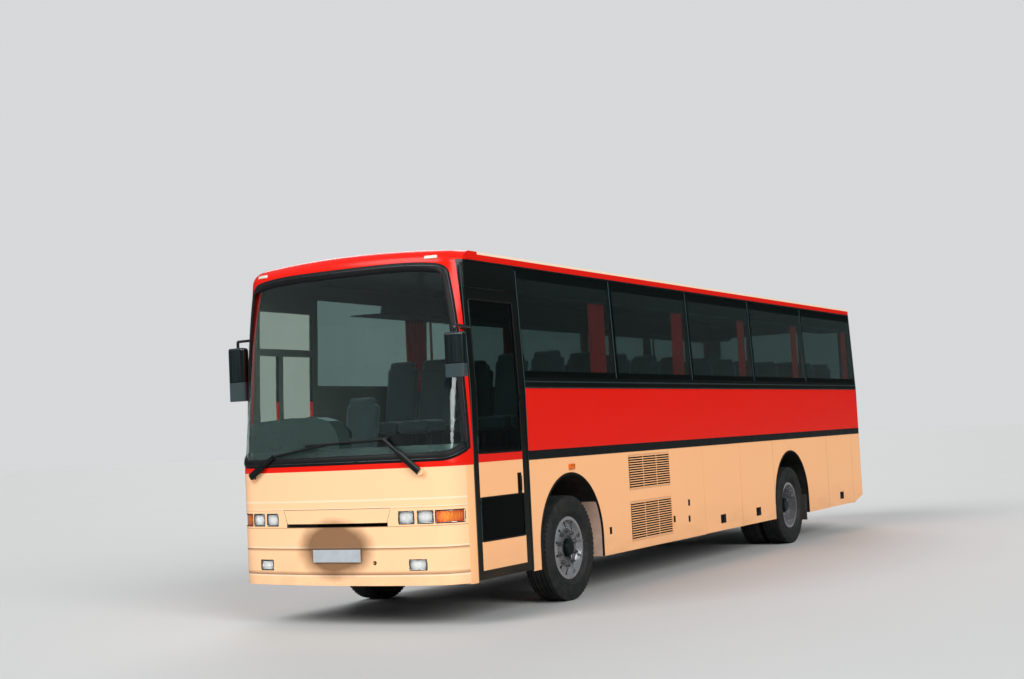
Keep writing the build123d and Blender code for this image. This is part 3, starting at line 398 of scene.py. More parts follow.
def glass(name, tint, bend, beyond=None):
    """Tinted glass that lets the lamps through. beyond is (axis, place, colour) for another tint below that place."""
    finish = Finish(name, tint, 0.02, Transmission_Weight=1.0, IOR=bend, Specular_IOR_Level=0.4)
    clear = finish.node("BsdfTransparent", Color=rgb(200, 214, 212)).outputs[0]
    shadow = finish.node("LightPath").outputs["Is Shadow Ray"]
    solid = finish.tree.nodes["Principled BSDF"].outputs[0]
    both = finish.node("MixShader", [(0, shadow), (1, solid), (2, clear)])
    finish.put(finish.tree.nodes["Material Output"].inputs["Surface"], both.outputs[0])
    streak = finish.noise(3, 5, (1, 1, 0.2))
    colour = finish.mix(streak, shade(tint, 0.92), shade(tint, 1.05))
    if beyond:
        letter, place, other = beyond
        colour = finish.mix(finish.above(finish.axis(letter), place), other, colour)
    finish.colour(colour)
    finish.rough(finish.span(streak, 0.4, 0.8, 0.02, 0.05))
    return finish.material


def cloth(name, colour, other, scale):
    """Woven cloth: two crossed sets of threads with a second colour between them."""
    finish = Finish(name, colour, 0.85, Sheen_Weight=0.35)
    weave = finish.times(finish.waves("Y", scale), finish.waves("Z", scale))
    worn = finish.mix(finish.noise(6, 5), colour, shade(colour, 0.6))
    finish.colour(finish.mix(finish.span(weave, 0.2, 0.8), worn, other))
    finish.bump(finish.maths("ADD", weave, finish.noise(scale * 2, 3)), 0.35, 0.0012)
    return finish.material


def brushed(name, colour, roughness):
    finish = Finish(name, colour, roughness, Metallic=1.0)
    grain = finish.noise(40, 6, (0.3, 1, 1))
    finish.colour(finish.mix(finish.patches(5, 6, 0.45, 0.75, 0.0, 0.5), colour, shade(colour, 0.45)))
    finish.rough(finish.span(grain, 0.3, 0.7, roughness - 0.08, roughness + 0.14))
    finish.bump(grain, 0.08, 0.0008)
    return finish.material


def polished(name, axle, rings, roughness, slots=0):
    """Bright metal in rings about an axle, given as (radius where it starts, colour), painted near black about its
    slots as painted shade for the holes.
    """
    finish = Finish(name, rings[0][1], roughness, Metallic=0.8)
    ways = [finish.maths("SUBTRACT", finish.axis(letter), middle) for letter, middle in (("Y", axle), ("Z", WHEEL_Z))]
    radius = finish.maths("SQRT", finish.squares(*ways))
    metal = rings[0][1]
    for start, colour in rings[1:]:
        metal = finish.mix(finish.above(radius, start, 0.004), metal, colour)
    # Near each slot the metal is painted near black: painted shade for the holes.
    if slots:
        wave = finish.maths("COSINE", finish.times(finish.maths("ARCTAN2", *ways), slots))
        near = finish.times(finish.above(wave, 0.85, 0.1), finish.between(radius, *SLOT_RADII, 0.004))
        metal = finish.mix(near, metal, rgb(18, 18, 20))
    finish.colour(finish.mix(finish.patches(7, 3, 0.45, 0.8, 0.0, 0.2), metal, rgb(62, 58, 54)))
    finish.rough(finish.patches(16, 3, 0.3, 0.7, roughness, roughness + 0.06))
    turned = finish.node("TexWave", [("Vector", finish.node("CombineXYZ", [("X", radius)]).outputs[0])], Scale=60.0)
    finish.bump(turned.outputs["Fac"], 0.03, 0.0005)
    return finish.material


# Meshes


def give(material, *nodes):
    """Puts one material on CAD nodes."""
    for node in nodes:
        mesh = NODES[node].data
        mesh.materials.clear()
        mesh.materials.append(material)


def linked(name, mesh):
    made = bpy.data.objects.new(name, mesh)
    bpy.context.scene.collection.objects.link(made)
    return made


def piece(name, shape, material, smooth=40, body="coach_body", weld=True, replaces=None):
    """A finished piece at the origin that rides on a body, from a mesh or a bmesh."""
    mesh = shape if isinstance(shape, bpy.types.Mesh) else mesh_from(shape, name + "_mesh", weld)
    made = linked(name, mesh)
    mesh.materials.clear()
    mesh.materials.append(material)
    mesh.shade_smooth()
    if smooth < 180:
        mesh.set_sharp_from_angle(angle=math.radians(smooth))
    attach(made, body)
    if replaces:
        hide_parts(replaces)
    return made


def mesh_from(bm, name, weld=True):
    if weld:
        bmesh.ops.remove_doubles(bm, verts=bm.verts, dist=1e-5)
    bmesh.ops.recalc_face_normals(bm, faces=bm.faces)
    mesh = bpy.data.meshes.new(name)
    bm.to_mesh(mesh)
    bm.free()
    return mesh


def add_mesh(bm, mesh, place):
    """Places a mesh, adds it and drops it."""
    mesh.transform(place)
    bm.from_mesh(mesh)
    bpy.data.meshes.remove(mesh)


def add_block(bm, low, high, bevel=0.0, segments=2):
    """A box between two corners, with rounded edges."""
    low, high = Vector(low), Vector(high)
    place = Matrix.Translation((low + high) / 2) @ Matrix.Diagonal((*[abs(v) for v in high - low], 1))
    made = bmesh.ops.create_cube(bm, size=1, matrix=place)
    if bevel:
        edges = list({edge for vert in made["verts"] for edge in vert.link_edges})
        bmesh.ops.bevel(bm, geom=edges, offset=bevel, segments=segments, profile=0.5, affect="EDGES")


def add_pad(bm, middle, half, bevel=0.0, segments=2):
    """A box about a middle, with rounded edges."""
    middle, half = Vector(middle), Vector(half)
    add_block(bm, middle - half, middle + half, bevel, segments)


def add_tube(bm, points, radius, closed=False, sides=8, squash=(1.0, 1.0), up=Vector((0, 0, 1))):
    """A tube along points. squash flattens its section across and along the way that up points, at each point."""
    point_up = up if callable(up) else lambda place: up
    count = len(points)
    rings = []
    for i, point in enumerate(points):
        before = points[i - 1] if closed or i else point
        after = points[(i + 1) % count] if closed or i < count - 1 else point
        along = (after - before).normalized()
        across = along.cross(point_up(point))
        across = across.normalized() if across.length > 1e-6 else Vector((1, 0, 0))
        over = across.cross(along).normalized()
        turns = [2 * math.pi * k / sides for k in range(sides)]
        rings.append([bm.verts.new(
            point + (across * math.cos(turn) * radius * squash[0] + over * math.sin(turn) * radius * squash[1])
        ) for turn in turns])
    add_sleeve(bm, rings, closed)
    if not closed:
        bm.faces.new(rings[0][::-1])
        bm.faces.new(rings[-1])


def add_sleeve(bm, rings, closed):
    """Faces between each ring of corners and the next."""
    for first, second in zip(rings, rings[1:] + rings[:1] if closed else rings[1:]):
        for k in range(len(first)):
            j = (k + 1) % len(first)
            bm.faces.new((first[k], first[j], second[j], second[k]))


def add_turned(bm, profile, centre, steps):
    """Turns a closed profile of (x, radius) points about a level line along X."""
    turns = [2 * math.pi * k / steps for k in range(steps)]
    add_sleeve(bm, [[
        bm.verts.new(centre + Vector((x, r * math.cos(turn), r * math.sin(turn)))) for x, r in profile
    ] for turn in turns], True)


def mirrored(bm):
    """Adds the same shapes on the other side."""
    made = bmesh.ops.duplicate(bm, geom=bm.verts[:] + bm.edges[:] + bm.faces[:])["geom"]
    for item in made:
        if isinstance(item, bmesh.types.BMVert):
            item.co.x = -item.co.x
    bmesh.ops.reverse_faces(bm, faces=[item for item in made if isinstance(item, bmesh.types.BMFace)])
    return bm


def front_skin(*nodes):
    """A search tree over the surfaces of CAD nodes."""
    bm = bmesh.new()
    for node in nodes:
        bm.from_mesh(NODES[node].data)
    tree = BVHTree.FromBMesh(bm)
    bm.free()
    return tree


def met_from_front(tree, x, z):
    """The first place that is met from ahead, and the way that the surface looks there."""
    place, normal, *_ = tree.ray_cast(Vector((x, FRONT - 1, z)), Vector((0, 1, 0)))
    if place is None:
        raise RuntimeError(f"nothing on the front at {x}, {z}")
    return place, normal


def welded(node):
    bm = bmesh.new()
    bm.from_mesh(NODES[node].data)
    bmesh.ops.remove_doubles(bm, verts=bm.verts, dist=1e-5)
    return bm


def rim_loops(node, facing, limit, spacing):
    """Closed lines round each face of a node that looks the given way, with evenly spaced points.

    facing is one direction, or a function that gives it from the middle of a face.
    """
    look = facing if callable(facing) else lambda middle: Vector(facing)
    bm = welded(node)
    bm.normal_update()
    ahead = {face for face in bm.faces if face.normal.dot(look(face.calc_center_median())) > limit}
    edges = {edge for edge in bm.edges if sum(face in ahead for face in edge.link_faces) == 1}
    loops = []
    while edges:
        edge = min(edges, key=lambda item: item.index)
        edges.discard(edge)
        line = [edge.verts[0], edge.verts[1]]
        while line[-1] is not line[0]:
            found = next((item for item in line[-1].link_edges if item in edges), None)
            if found is None:
                break
            edges.discard(found)
            line.append(found.other_vert(line[-1]))
        loops.append(evenly([vert.co.copy() for vert in line[:-1]], spacing))
    bm.free()
    return loops


def evenly(points, spacing):
    """The same closed line with its points at even steps."""
    ends = points[1:] + points[:1]
    lengths = [(end - point).length for point, end in zip(points, ends)]
    total = sum(lengths)
    count = max(8, round(total / spacing))
    result = []
    travelled, i = 0.0, 0
    for k in range(count):
        target = total * k / count
        while travelled + lengths[i] < target:
            travelled += lengths[i]
            i += 1
        result.append(points[i].lerp(ends[i], (target - travelled) / max(lengths[i], 1e-9)))
    return result


def side_x(z):
    """How far out the flank is at a height."""
    return HALF_WIDTH - max(0.0, z - SHOULDER) * SIDE_LEAN


def baked(made):
    """Turns a piece's modifiers into a plain mesh and takes the modifiers off."""
    bpy.context.view_layer.update()
    graph = bpy.context.evaluated_depsgraph_get()
    mesh = bpy.data.meshes.new_from_object(made.evaluated_get(graph))
    made.modifiers.clear()
    made.data = mesh
    return mesh


# Geometry Nodes trees


class RingTree(Shading):
    """A Geometry Nodes group with named inputs that puts one shape on each point of a circle in the XY plane."""

    prefix = ""

    def __init__(self, name, **inputs):
        super().__init__(bpy.data.node_groups.new(name, "GeometryNodeTree"))
        face = self.tree.interface
        face.new_socket("Geometry", in_out="INPUT", socket_type="NodeSocketGeometry")
        self.keys = {}
        for label, default in {"Count": 10, "Circle": 0.17, **inputs, "Material": None}.items():
            kind = {int: "Int", float: "Float"}.get(type(default), "Material")
            socket = face.new_socket(label, in_out="INPUT", socket_type="NodeSocket" + kind)
            if default is not None:
                socket.default_value = default
            self.keys[label] = socket.identifier
        face.new_socket("Geometry", in_out="OUTPUT", socket_type="NodeSocketGeometry")
        self.start = self.node("NodeGroupInput").outputs

    def scaled(self, label, factor):
        """An input times a number."""
        return self.node("ShaderNodeMath", [(0, self.start[label]), (1, factor)], operation="MULTIPLY").outputs[0]

    def finish(self, instance, *more):
        """Ends the tree in real geometry with its material."""
        links = [("Vertices", self.start["Count"]), ("Radius", self.start["Circle"])]
        circle = self.node("GeometryNodeMeshCircle", links).outputs["Mesh"]
        ring = self.node("GeometryNodeInstanceOnPoints", [("Points", circle), ("Instance", instance), *more])
        real = self.node("GeometryNodeRealizeInstances", [("Geometry", ring.outputs[0])])
        links = [("Geometry", real.outputs[0]), ("Material", self.start["Material"])]
        self.node("NodeGroupOutput", [(0, self.node("GeometryNodeSetMaterial", links).outputs[0])])
        return self

    def build(self, name, **values):
        """Runs the tree once on an empty mesh and gives the plain result."""
        made = linked(name, bpy.data.meshes.new(name))
        modifier = made.modifiers.new("Shape", "NODES")
        modifier.node_group = self.tree
        for label, value in values.items():
            modifier[self.keys[label]] = value
        mesh = baked(made)
        bpy.data.objects.remove(made)
        return mesh


def nut_ring_tree():
    """Nuts evenly round a circle, each a hexagon with its bolt's end and a washer."""
    tree = RingTree("Nut ring", Size=0.017, Height=0.03)
    join = tree.node("GeometryNodeJoinGeometry")
    # Radius over the nut's size, length over its height, corners
    for wide, long, corners in ((1.0, 1.0, 6), (0.55, 1.7, 10), (1.35, 0.25, 14)):
        links = [("Radius", tree.scaled("Size", wide)), ("Depth", tree.scaled("Height", long))]
        tree.put(join.inputs[0], tree.node("GeometryNodeMeshCylinder", links, Vertices=corners).outputs["Mesh"])
    return tree.finish(join.outputs[0])


def lug_ring_tree():
    """Blocks round a circle, turned to face out, for a tyre's shoulder."""
    tree = RingTree("Shoulder lugs", Length=0.03, Width=0.03, Depth=0.01)
    links = [("X", tree.start["Depth"]), ("Y", tree.start["Length"]), ("Z", tree.start["Width"])]
    size = tree.node("ShaderNodeCombineXYZ", links)
    block = tree.node("GeometryNodeMeshCube", [("Size", size.outputs[0])])
    place = tree.node("GeometryNodeInputPosition").outputs[0]
    turn = tree.node("FunctionNodeAlignRotationToVector", [("Vector", place)], axis="X")
    return tree.finish(block.outputs["Mesh"], ("Rotation", turn.outputs[0]))


# Stage


CAMERA_PLACE = Vector((8.1404, -16.8775, 1.6525))
CAMERA_TURN, CAMERA_PITCH, CAMERA_ROLL = 0.517562, -0.0635284, -0.0495673
SENSOR = 36.0
FLOOR_REACH = 160
VIEW_REACH = 500
LAMP_WIDTH = 0.6
LAMPS = (("key", (-5.0, -15.0, 12.0)), ("fill", (14.0, -8.0, 8.0)), ("back", (-8.0, 14.0, 9.0)))
# What shiny surfaces mirror, from the road's height up to overhead
ROOM_TONES = (
    (0.0, rgb(70, 74, 74)), (0.10, rgb(60, 70, 70)), (0.30, rgb(120, 136, 142)), (0.62, rgb(236, 242, 248)),
)
ROOM_DIFFUSE = rgb(214, 220, 228)
ROOM_BACKDROP = (1.62, 1.64, 1.66, 1.0)


class CoachStageOperator(Operator):
    """Makes the floor, the lamps, the room's light and the camera"""

    bl_idname = "coach.stage"
    bl_label = "Stage and camera"

    def execute(self, context):
        stage = context.scene.coach_stage
        bm = bmesh.new()
        bmesh.ops.create_grid(bm, x_segments=4, y_segments=4, size=FLOOR_REACH)
        floor = linked("floor", mesh_from(bm, "floor"))
        finish = Finish("Floor", stage.floor, 0.75)
        pale = finish.mix(finish.noise(0.35, 5), shade(stage.floor, 0.97), shade(stage.floor, 1.02))
        mirrored_ray = finish.node("LightPath").outputs["Is Glossy Ray"]
        finish.colour(finish.mix(mirrored_ray, pale, shade(stage.floor, 0.3)))
        floor.data.materials.append(finish.material)
        for name, place in LAMPS:
            self.light(name, getattr(stage, name), Vector(place))
        self.room(context.scene, stage.room)
        self.camera(context.scene, stage.lens)
        context.scene.view_settings.view_transform = "Standard"
        return {"FINISHED"}

    def light(self, name, strength, place):
        """A wide soft lamp, far off, so that the floor is lit evenly."""
        data = bpy.data.lights.new(name, "SUN")
        data.energy = strength
        data.angle = LAMP_WIDTH
        lamp = linked(name, data)
        lamp.location = place
        lamp.rotation_euler = (-place).to_track_quat("-Z", "Y").to_euler()

    def room(self, scene, strength):
        """A plain pale room, with a darker one up to a pale ceiling for what shines to mirror."""
        world = scene.world = bpy.data.worlds.new("Room")
        world.use_nodes = True
        room = Shading(world.node_tree)
        way = room.node("SeparateXYZ", [(0, room.node("TexCoord").outputs["Generated"])])
        ramp = room.node("ValToRGB", [(0, way.outputs["Z"])])
        stops = ramp.color_ramp.elements
        stops[0].position, stops[0].color = ROOM_TONES[0]
        stops[1].position, stops[1].color = ROOM_TONES[-1]
        for position, colour in ROOM_TONES[1:-1]:
            stops.new(position).color = colour
        path = room.node("LightPath").outputs
        light = room.mix(path["Is Glossy Ray"], ROOM_DIFFUSE, ramp.outputs["Color"])
        light = room.mix(path["Is Transmission Ray"], light, ROOM_BACKDROP)
        background = world.node_tree.nodes["Background"].inputs
        room.put(background["Color"], room.mix(path["Is Camera Ray"], light, ROOM_BACKDROP))
        background["Strength"].default_value = strength

    def camera(self, scene, lens):
        turn, pitch, roll = CAMERA_TURN, CAMERA_PITCH, CAMERA_ROLL
        back = Vector((math.sin(turn) * math.cos(pitch), -math.cos(turn) * math.cos(pitch), math.sin(pitch)))
        level = (-back).cross(Vector((0, 0, 1))).normalized()
        upright = level.cross(-back)
        right = level * math.cos(roll) + upright * math.sin(roll)
        up = upright * math.cos(roll) - level * math.sin(roll)
        data = bpy.data.cameras.new("camera")
        data.lens = lens
        data.sensor_width = SENSOR
        data.sensor_fit = "HORIZONTAL"
        data.clip_end = VIEW_REACH
        scene.camera = linked("camera", data)
        turned = Matrix((right, up, back)).transposed().to_4x4()
        scene.camera.matrix_world = Matrix.Translation(CAMERA_PLACE) @ turned


# Finishes of the CAD nodes


class CoachBodyFinish(Operator):
    """Paints the body panels, doors and flaps"""

    bl_idname = "coach.body_finish"
    bl_label = "Body paint"

    def execute(self, context):
        cream, red, black, nose = tone("cream"), tone("red"), tone("black"), tone("nose")
        upper = [(0, cream), (BELT_LOW, black), (BELT_HIGH, red)]
        bands = upper + [(SILL_LOW, black), (GLAZING_TOP, red), (ROOF_EDGE, cream)]
        door = [(0, cream), (DOOR_RED[0], red), (DOOR_RED[1], black)]
        front = (ledge_lights, ledge_shadows, soot_round_plate)
        flaps = [name for name in NODES if name.startswith("luggage_flap_")]
        for name, levels, mask, details, nodes in (
            ("Nearside paint", bands, doorway_mask, (corner_red,), ["side_wall_left"]),
            ("Offside paint", bands, None, (corner_red,), ["side_wall_right"]),
            ("Rear paint", bands, None, (), ["rear_wall"]),
            ("Rear bumper paint", [(0, cream)], None, (), ["rear_bumper"]),
            # The front and its bumper take the paler copy of the cream, painted light.
            ("Front paint", [(0, nose), (NOSE_RED, red)], None, front, ["front_panel"]),
            ("Front bumper paint", [(0, nose)], None, front, ["front_bumper"]),
            ("Screen surround paint", [(0, red)], None, (), ["windscreen_surround"]),
            ("Roof paint", [(0, red)], roof_mask, (), ["roof"]),
            ("Door paint", door, door_frame_mask, (), ["entrance_door"]),
            ("Flap paint", [(0, cream)], None, (), flaps),
            ("Boot lid paint", upper, None, (), ["boot_lid"]),
        ):
            give(paint(name, levels, mask, details), *nodes)
        return {"FINISHED"}


# Middle of each front lamp on one side and half its width, and half the height of them all
LAMP_CENTRES = ((0.742, 0.975, 0.075), (0.922, 0.975, 0.075), (1.115, 0.975, 0.100), (0.836, 0.560, 0.080))
LAMP_TALL = 0.052
# Where a mirror's paler foot starts
MIRROR_SPLIT = 2.290
RIM_SLOTS = 10
SLOT_RADII = (0.200, 0.266)
# The pale panel in the front housings: from the axle back, and its top
HOUSING_PANEL_Y = (0.55, 0.72)
HOUSING_PANEL_TOP = 1.02
# Where the lenses change colour: out from the middle, up past the bumper's lamps, and up a rear cluster
AMBER_OUT, AMBER_LOW = 1.007, 0.8
REAR_RED, REAR_AMBER = 1.05, 1.25
PANE_TINT = rgb(120, 139, 136)
CLEAR_TINT = rgb(214, 232, 228)
CAB_TINT = rgb(186, 190, 180)
# A darker colour for the door's lower pane: painted shade.
DOOR_LOWER_PANE_SHADE = rgb(60, 78, 76)
# Between the door's lower pane and its upper one
DOOR_BAR = 1.3


class CoachPartsFinish(Operator):
    """Gives the glass, the running gear and the cabin pieces their finishes"""

    bl_idname = "coach.parts_finish"
    bl_label = "Glass, chassis and cabin"

    def execute(self, context):
        give(glass("Windscreen glass", CLEAR_TINT, 1.4), "windscreen")
        give(glass("Side glass", PANE_TINT, 1.3, ("Y", FRONT + CAB_END, CAB_TINT)), "side_windows", "rear_window")
        # The door's lower pane is painted darker below DOOR_BAR, as painted shade.
        give(glass("Door glass", PANE_TINT, 1.15, ("Z", DOOR_BAR, DOOR_LOWER_PANE_SHADE)), "entrance_door_glass")
        give(speckled("Chassis paint", rgb(30, 30, 31), 0.6, 45, 0.4, 0.5, 0.002), "chassis_frame", "door_arms")
        cast = speckled("Cast iron", rgb(58, 54, 50), 0.65, 90, 0.35, 0.6, 0.002, Metallic=0.6)
        give(cast, "engine", "front_axle", "rear_axle", "knuckle_left", "knuckle_right")
        give(speckled("Black metal", rgb(24, 24, 25), 0.45, 60, 0.3, 0.3, 0.0008), "luggage_bays", "wipers")
        plastic = speckled("Black plastic", rgb(22, 23, 24), 0.5, 220, 0.2, 0.35, 0.0006)
        give(plastic, "steering_column", "steering_wheel")
        skin = speckled("Dashboard skin", rgb(34, 46, 44), 0.34, 260, 0.2, 0.2, 0.0004, Specular_IOR_Level=0.7)
        give(skin, "dashboard")
        give(speckled("Rack lining", rgb(70, 72, 72), 0.7, 200, 0.2, 0.3, 0.0006), "luggage_racks")
        give(speckled("Floor sheet", rgb(40, 40, 42), 0.7, 90, 0.3, 0.4, 0.001), "saloon_floor")
        give(mirror_finish(), "mirrors")
        give(housing_finish(), "wheel_housings")
        give(grille_finish(), "side_grilles")
        # Radius where each ring of the wheels starts, and how bright it is
        for name, axle, rings, roughness, slots, nodes in (
            ("Wheel metal", FRONT_AXLE, ((0.093, 0.35), (0.125, 0.6), (0.198, 1.0)), 0.16, RIM_SLOTS, "rim_front_"),
            ("Rear wheel metal", REAR_AXLE, ((0.093, 0.06), (0.150, 0.14), (0.262, 1.0)), 0.2, 0, "rims_rear_"),
        ):
            colours = [(0, rgb(26, 38, 40)), *[(radius, shade(tone("metal"), bright)) for radius, bright in rings]]
            give(polished(name, axle, colours, roughness, slots), nodes + "left", nodes + "right")
        give(front_lamp_finish(), "front_lamps")
        give(rear_lamp_finish(), "rear_lamps")
        return {"FINISHED"}


def housing_finish():
    """Black liner with a cream panel low behind the front wheel."""
    finish = Finish("Wheel housing", rgb(16, 16, 17), 0.7)
    behind = finish.between(finish.axis("Y"), *[FRONT_AXLE + place for place in HOUSING_PANEL_Y])
    inside = finish.below(finish.maths("ABSOLUTE", finish.axis("X")), HALF_WIDTH - 0.012)
    panel = finish.times(behind, finish.below(finish.axis("Z"), HOUSING_PANEL_TOP), inside)
    road = finish.noise(9, 8)
    black = finish.mix(finish.span(road, 0.4, 0.8, 0.0, 0.35), rgb(16, 16, 17), rgb(70, 62, 54))
    cream = finish.mix(finish.span(road, 0.35, 0.7, 0.05, 0.4), rgb(226, 190, 168), rgb(150, 120, 104))
    finish.colour(finish.mix(panel, black, cream))
    finish.bump(finish.noise(70, 5), 0.4, 0.002)
    return finish.material


def grille_finish():
    """Cream on the face of the louvred panels, and dark behind it as painted shade."""
    finish = Finish("Louvre paint", tone("cream"), 0.4)
    out = finish.span(finish.maths("ABSOLUTE", finish.axis("X")), HALF_WIDTH - 0.03, HALF_WIDTH - 0.004)
    # Near black deeper in than the face: painted shade.
    finish.colour(finish.mix(out, rgb(22, 19, 17), shade(tone("cream"), 0.82)))
    finish.bump(finish.noise(80, 4), 0.15, 0.0008)
    return finish.material


def mirror_finish():
    """Smoked plastic, split below the main glass, where a paler foot starts."""
    finish = Finish("Mirror shell", rgb(16, 22, 23), 0.22, Coat_Weight=0.5, Coat_Roughness=0.05)
    height = finish.axis("Z")
    shell = finish.mix(finish.patches(9, 3, 0.4, 0.7, stretch=(3, 3, 0.1)), rgb(12, 17, 18), rgb(30, 40, 42))
    shell = finish.mix(finish.below(height, MIRROR_SPLIT), shell, rgb(58, 70, 72))
    groove = finish.between(height, MIRROR_SPLIT - 0.004, MIRROR_SPLIT + 0.004)
    finish.colour(finish.mix(groove, shell, rgb(4, 5, 5)))
    finish.bump(finish.noise(60, 3), 0.05, 0.0005)
    return finish.material


def front_lamp_finish():
    """Clear lenses, near white in each lamp's middle and grey towards its edge as painted highlight and shade, with
    amber ones at the corners, also painted brighter in the middle.
    """
    finish = Finish("Front lamp glass", rgb(225, 230, 232), 0.1, Metallic=0.3, Coat_Weight=1.0, Coat_Roughness=0.02)
    across, height = finish.maths("ABSOLUTE", finish.axis("X")), finish.axis("Z")
    amber = finish.times(finish.above(across, AMBER_OUT), finish.above(height, AMBER_LOW))
    # Brightest in each lamp's middle: the painted highlight of its bowl.
    bowl_highlight = finish.maths("MAXIMUM", *[
        finish.span(finish.squares(finish.off(across, x, wide), finish.off(height, z, LAMP_TALL)), 1.3, 0.1)
        for x, z, wide in LAMP_CENTRES
    ])
    flutes, rows = finish.waves("X", 26.0), finish.waves("Z", 34.0)
    clear = finish.mix(bowl_highlight, rgb(104, 112, 114), rgb(250, 250, 246))
    clear = finish.mix(finish.times(flutes, 0.3), clear, rgb(150, 158, 160))
    warm = finish.mix(bowl_highlight, rgb(205, 62, 4), rgb(255, 142, 24))
    warm = finish.mix(finish.times(rows, 0.35), warm, rgb(190, 60, 6))
    finish.colour(finish.mix(amber, clear, warm))
    finish.bump(finish.maths("ADD", flutes, rows), 0.6, 0.004)
    return finish.material


def rear_lamp_finish():
    """One cluster in level parts: amber at the top, red, and clear below."""
    finish = Finish("Rear lamp plastic", rgb(160, 8, 8), 0.1, Coat_Weight=1.0, Coat_Roughness=0.03)
    height = finish.axis("Z")
    tint = finish.mix(finish.above(height, REAR_RED), rgb(190, 195, 195), rgb(150, 6, 6))
    tint = finish.mix(finish.above(height, REAR_AMBER), tint, rgb(235, 100, 8))
    finish.colour(finish.mix(finish.noise(18, 4), tint, rgb(40, 4, 4)))
    finish.bump(finish.waves("Z", 22.0), 0.5, 0.003)
    return finish.material


# Wheels


# One half of the tyre's section, from the middle of the tread to the bead: (x, radius)
TYRE_PROFILE = (
    (0.000, 0.5150), (0.018, 0.5150), (0.020, 0.5010), (0.029, 0.5010), (0.031, 0.5148), (0.062, 0.5146),
    (0.064, 0.5005), (0.073, 0.5005), (0.075, 0.5142), (0.104, 0.5135), (0.117, 0.5080), (0.125, 0.4960),
    (0.128, 0.4800), (0.1315, 0.4660), (0.1335, 0.4640), (0.1365, 0.4450), (0.1380, 0.4120), (0.1374, 0.3860),
    (0.1355, 0.3660), (0.1385, 0.3640), (0.1380, 0.3570), (0.1330, 0.3530), (0.1260, 0.3400), (0.1150, 0.3260),
    (0.1030, 0.3150), (0.0985, 0.3080), (0.0977, 0.2900),
)
TYRE_STEPS = 96
# The row of lugs along each edge of the tread
LUG_OUT = 0.109
LUGS = {"Count": 64, "Circle": 0.5035, "Length": 0.030, "Width": 0.026, "Depth": 0.018}
# Half section of a brake drum: how far out from the disc, radius
DRUM_PROFILE = ((-0.088, 0.115), (-0.070, 0.115), (-0.064, 0.120), (-0.060, 0.246), (-0.064, 0.252), (-0.088, 0.252))
TYRE_CENTRE = 1.088
NUT_HEIGHT = 0.028
NUT_OUT = 0.012
# Body, its tyre node, side, axle, the disc's face and each tyre's middle, both from the outer tyre's middle
WHEEL_SETS = (
    ("wheel_front_left", "tyre_front_left", 1, FRONT_AXLE, 0.082, (0.0,)),
    ("wheel_front_right", "tyre_front_right", -1, FRONT_AXLE, 0.082, (0.0,)),
    ("wheels_rear_left", "tyres_rear_left", 1, REAR_AXLE, -0.060, (0.0, -0.322)),
    ("wheels_rear_right", "tyres_rear_right", -1, REAR_AXLE, -0.060, (0.0, -0.322)),
)
# Turns what lies in the XY plane to stand across the coach
ACROSS = Matrix.Rotation(math.pi / 2, 4, "Y")


def rubber_finish():
    """Tyre rubber with dust on the walls."""
    rubber = tone("rubber")
    finish = Finish("Tyre rubber", rubber, 0.75)
    finish.colour(finish.mix(finish.patches(11, 8, 0.35, 0.75, 0.0, 0.22), shade(rubber, 0.8), rgb(74, 68, 60)))
    finish.rough(finish.patches(30, 4, 0.3, 0.7, 0.6, 0.9))
    finish.bump(finish.noise(160, 4), 0.35, 0.0012)
    return finish.material


class CoachTyres(Operator):
    """Makes the tyres with grooved treads and moulded walls"""

    bl_idname = "coach.tyres"
    bl_label = "Tyres"

    def execute(self, context):
        material = rubber_finish()
        lugs = lug_ring_tree()
        outline = list(TYRE_PROFILE) + [(-x, r) for x, r in reversed(TYRE_PROFILE) if x]
        for body, node, side, axle, _, places in WHEEL_SETS:
            bm = bmesh.new()
            for place in places:
                centre = Vector((side * (TYRE_CENTRE + place), axle, WHEEL_Z))
                add_turned(bm, outline, centre, TYRE_STEPS)
                for edge in (-LUG_OUT, LUG_OUT):
                    ring = lugs.build("lugs", Material=material, **LUGS)
                    add_mesh(bm, ring, Matrix.Translation(centre + Vector((edge, 0, 0))) @ ACROSS)
            piece(node + "_rubber", bm, material, 35, body, weld=False, replaces=node)
        return {"FINISHED"}


class CoachWheelFittings(Operator):
    """Puts nuts, valves and brake drums on the wheels"""

    bl_idname = "coach.wheel_fittings"
    bl_label = "Wheel nuts and drums"

    def execute(self, context):
        size = sizes()
        bright = speckled("Nut metal", rgb(150, 150, 150), 0.35, 60, 0.3, 0.2, 0.0004, Metallic=1.0)
        iron = speckled("Drum iron", rgb(22, 22, 23), 0.8, 60, 0.4, 0.4)
        tree = nut_ring_tree()
        nuts = {"Count": size.nut_count, "Circle": size.nut_circle, "Size": size.nut_size, "Height": NUT_HEIGHT}
        for body, _, side, axle, disc, _ in WHEEL_SETS:
            face = TYRE_CENTRE + disc
            bm = bmesh.new()
            ring = tree.build("nuts", Material=bright, **nuts)
            add_mesh(bm, ring, Matrix.Translation((side * (face + NUT_OUT), axle, WHEEL_Z)) @ ACROSS)
            stem = Vector((side * (face + NUT_OUT + 0.01), axle + 0.215, WHEEL_Z + 0.05))
            bends = ((0, 0, 0), (side * 0.03, 0.012, 0), (side * 0.045, 0.02, 0))
            add_tube(bm, [stem + Vector(bend) for bend in bends], 0.005)
            piece(body + "_nuts", bm, bright, 30, body, weld=False)
            bm = bmesh.new()
            shape = [(side * (face + x), radius) for x, radius in DRUM_PROFILE]
            add_turned(bm, shape, Vector((0, axle, WHEEL_Z)), 48)
            piece(body + "_drum", bm, iron, 30, body)
        return {"FINISHED"}


# Trim and fittings


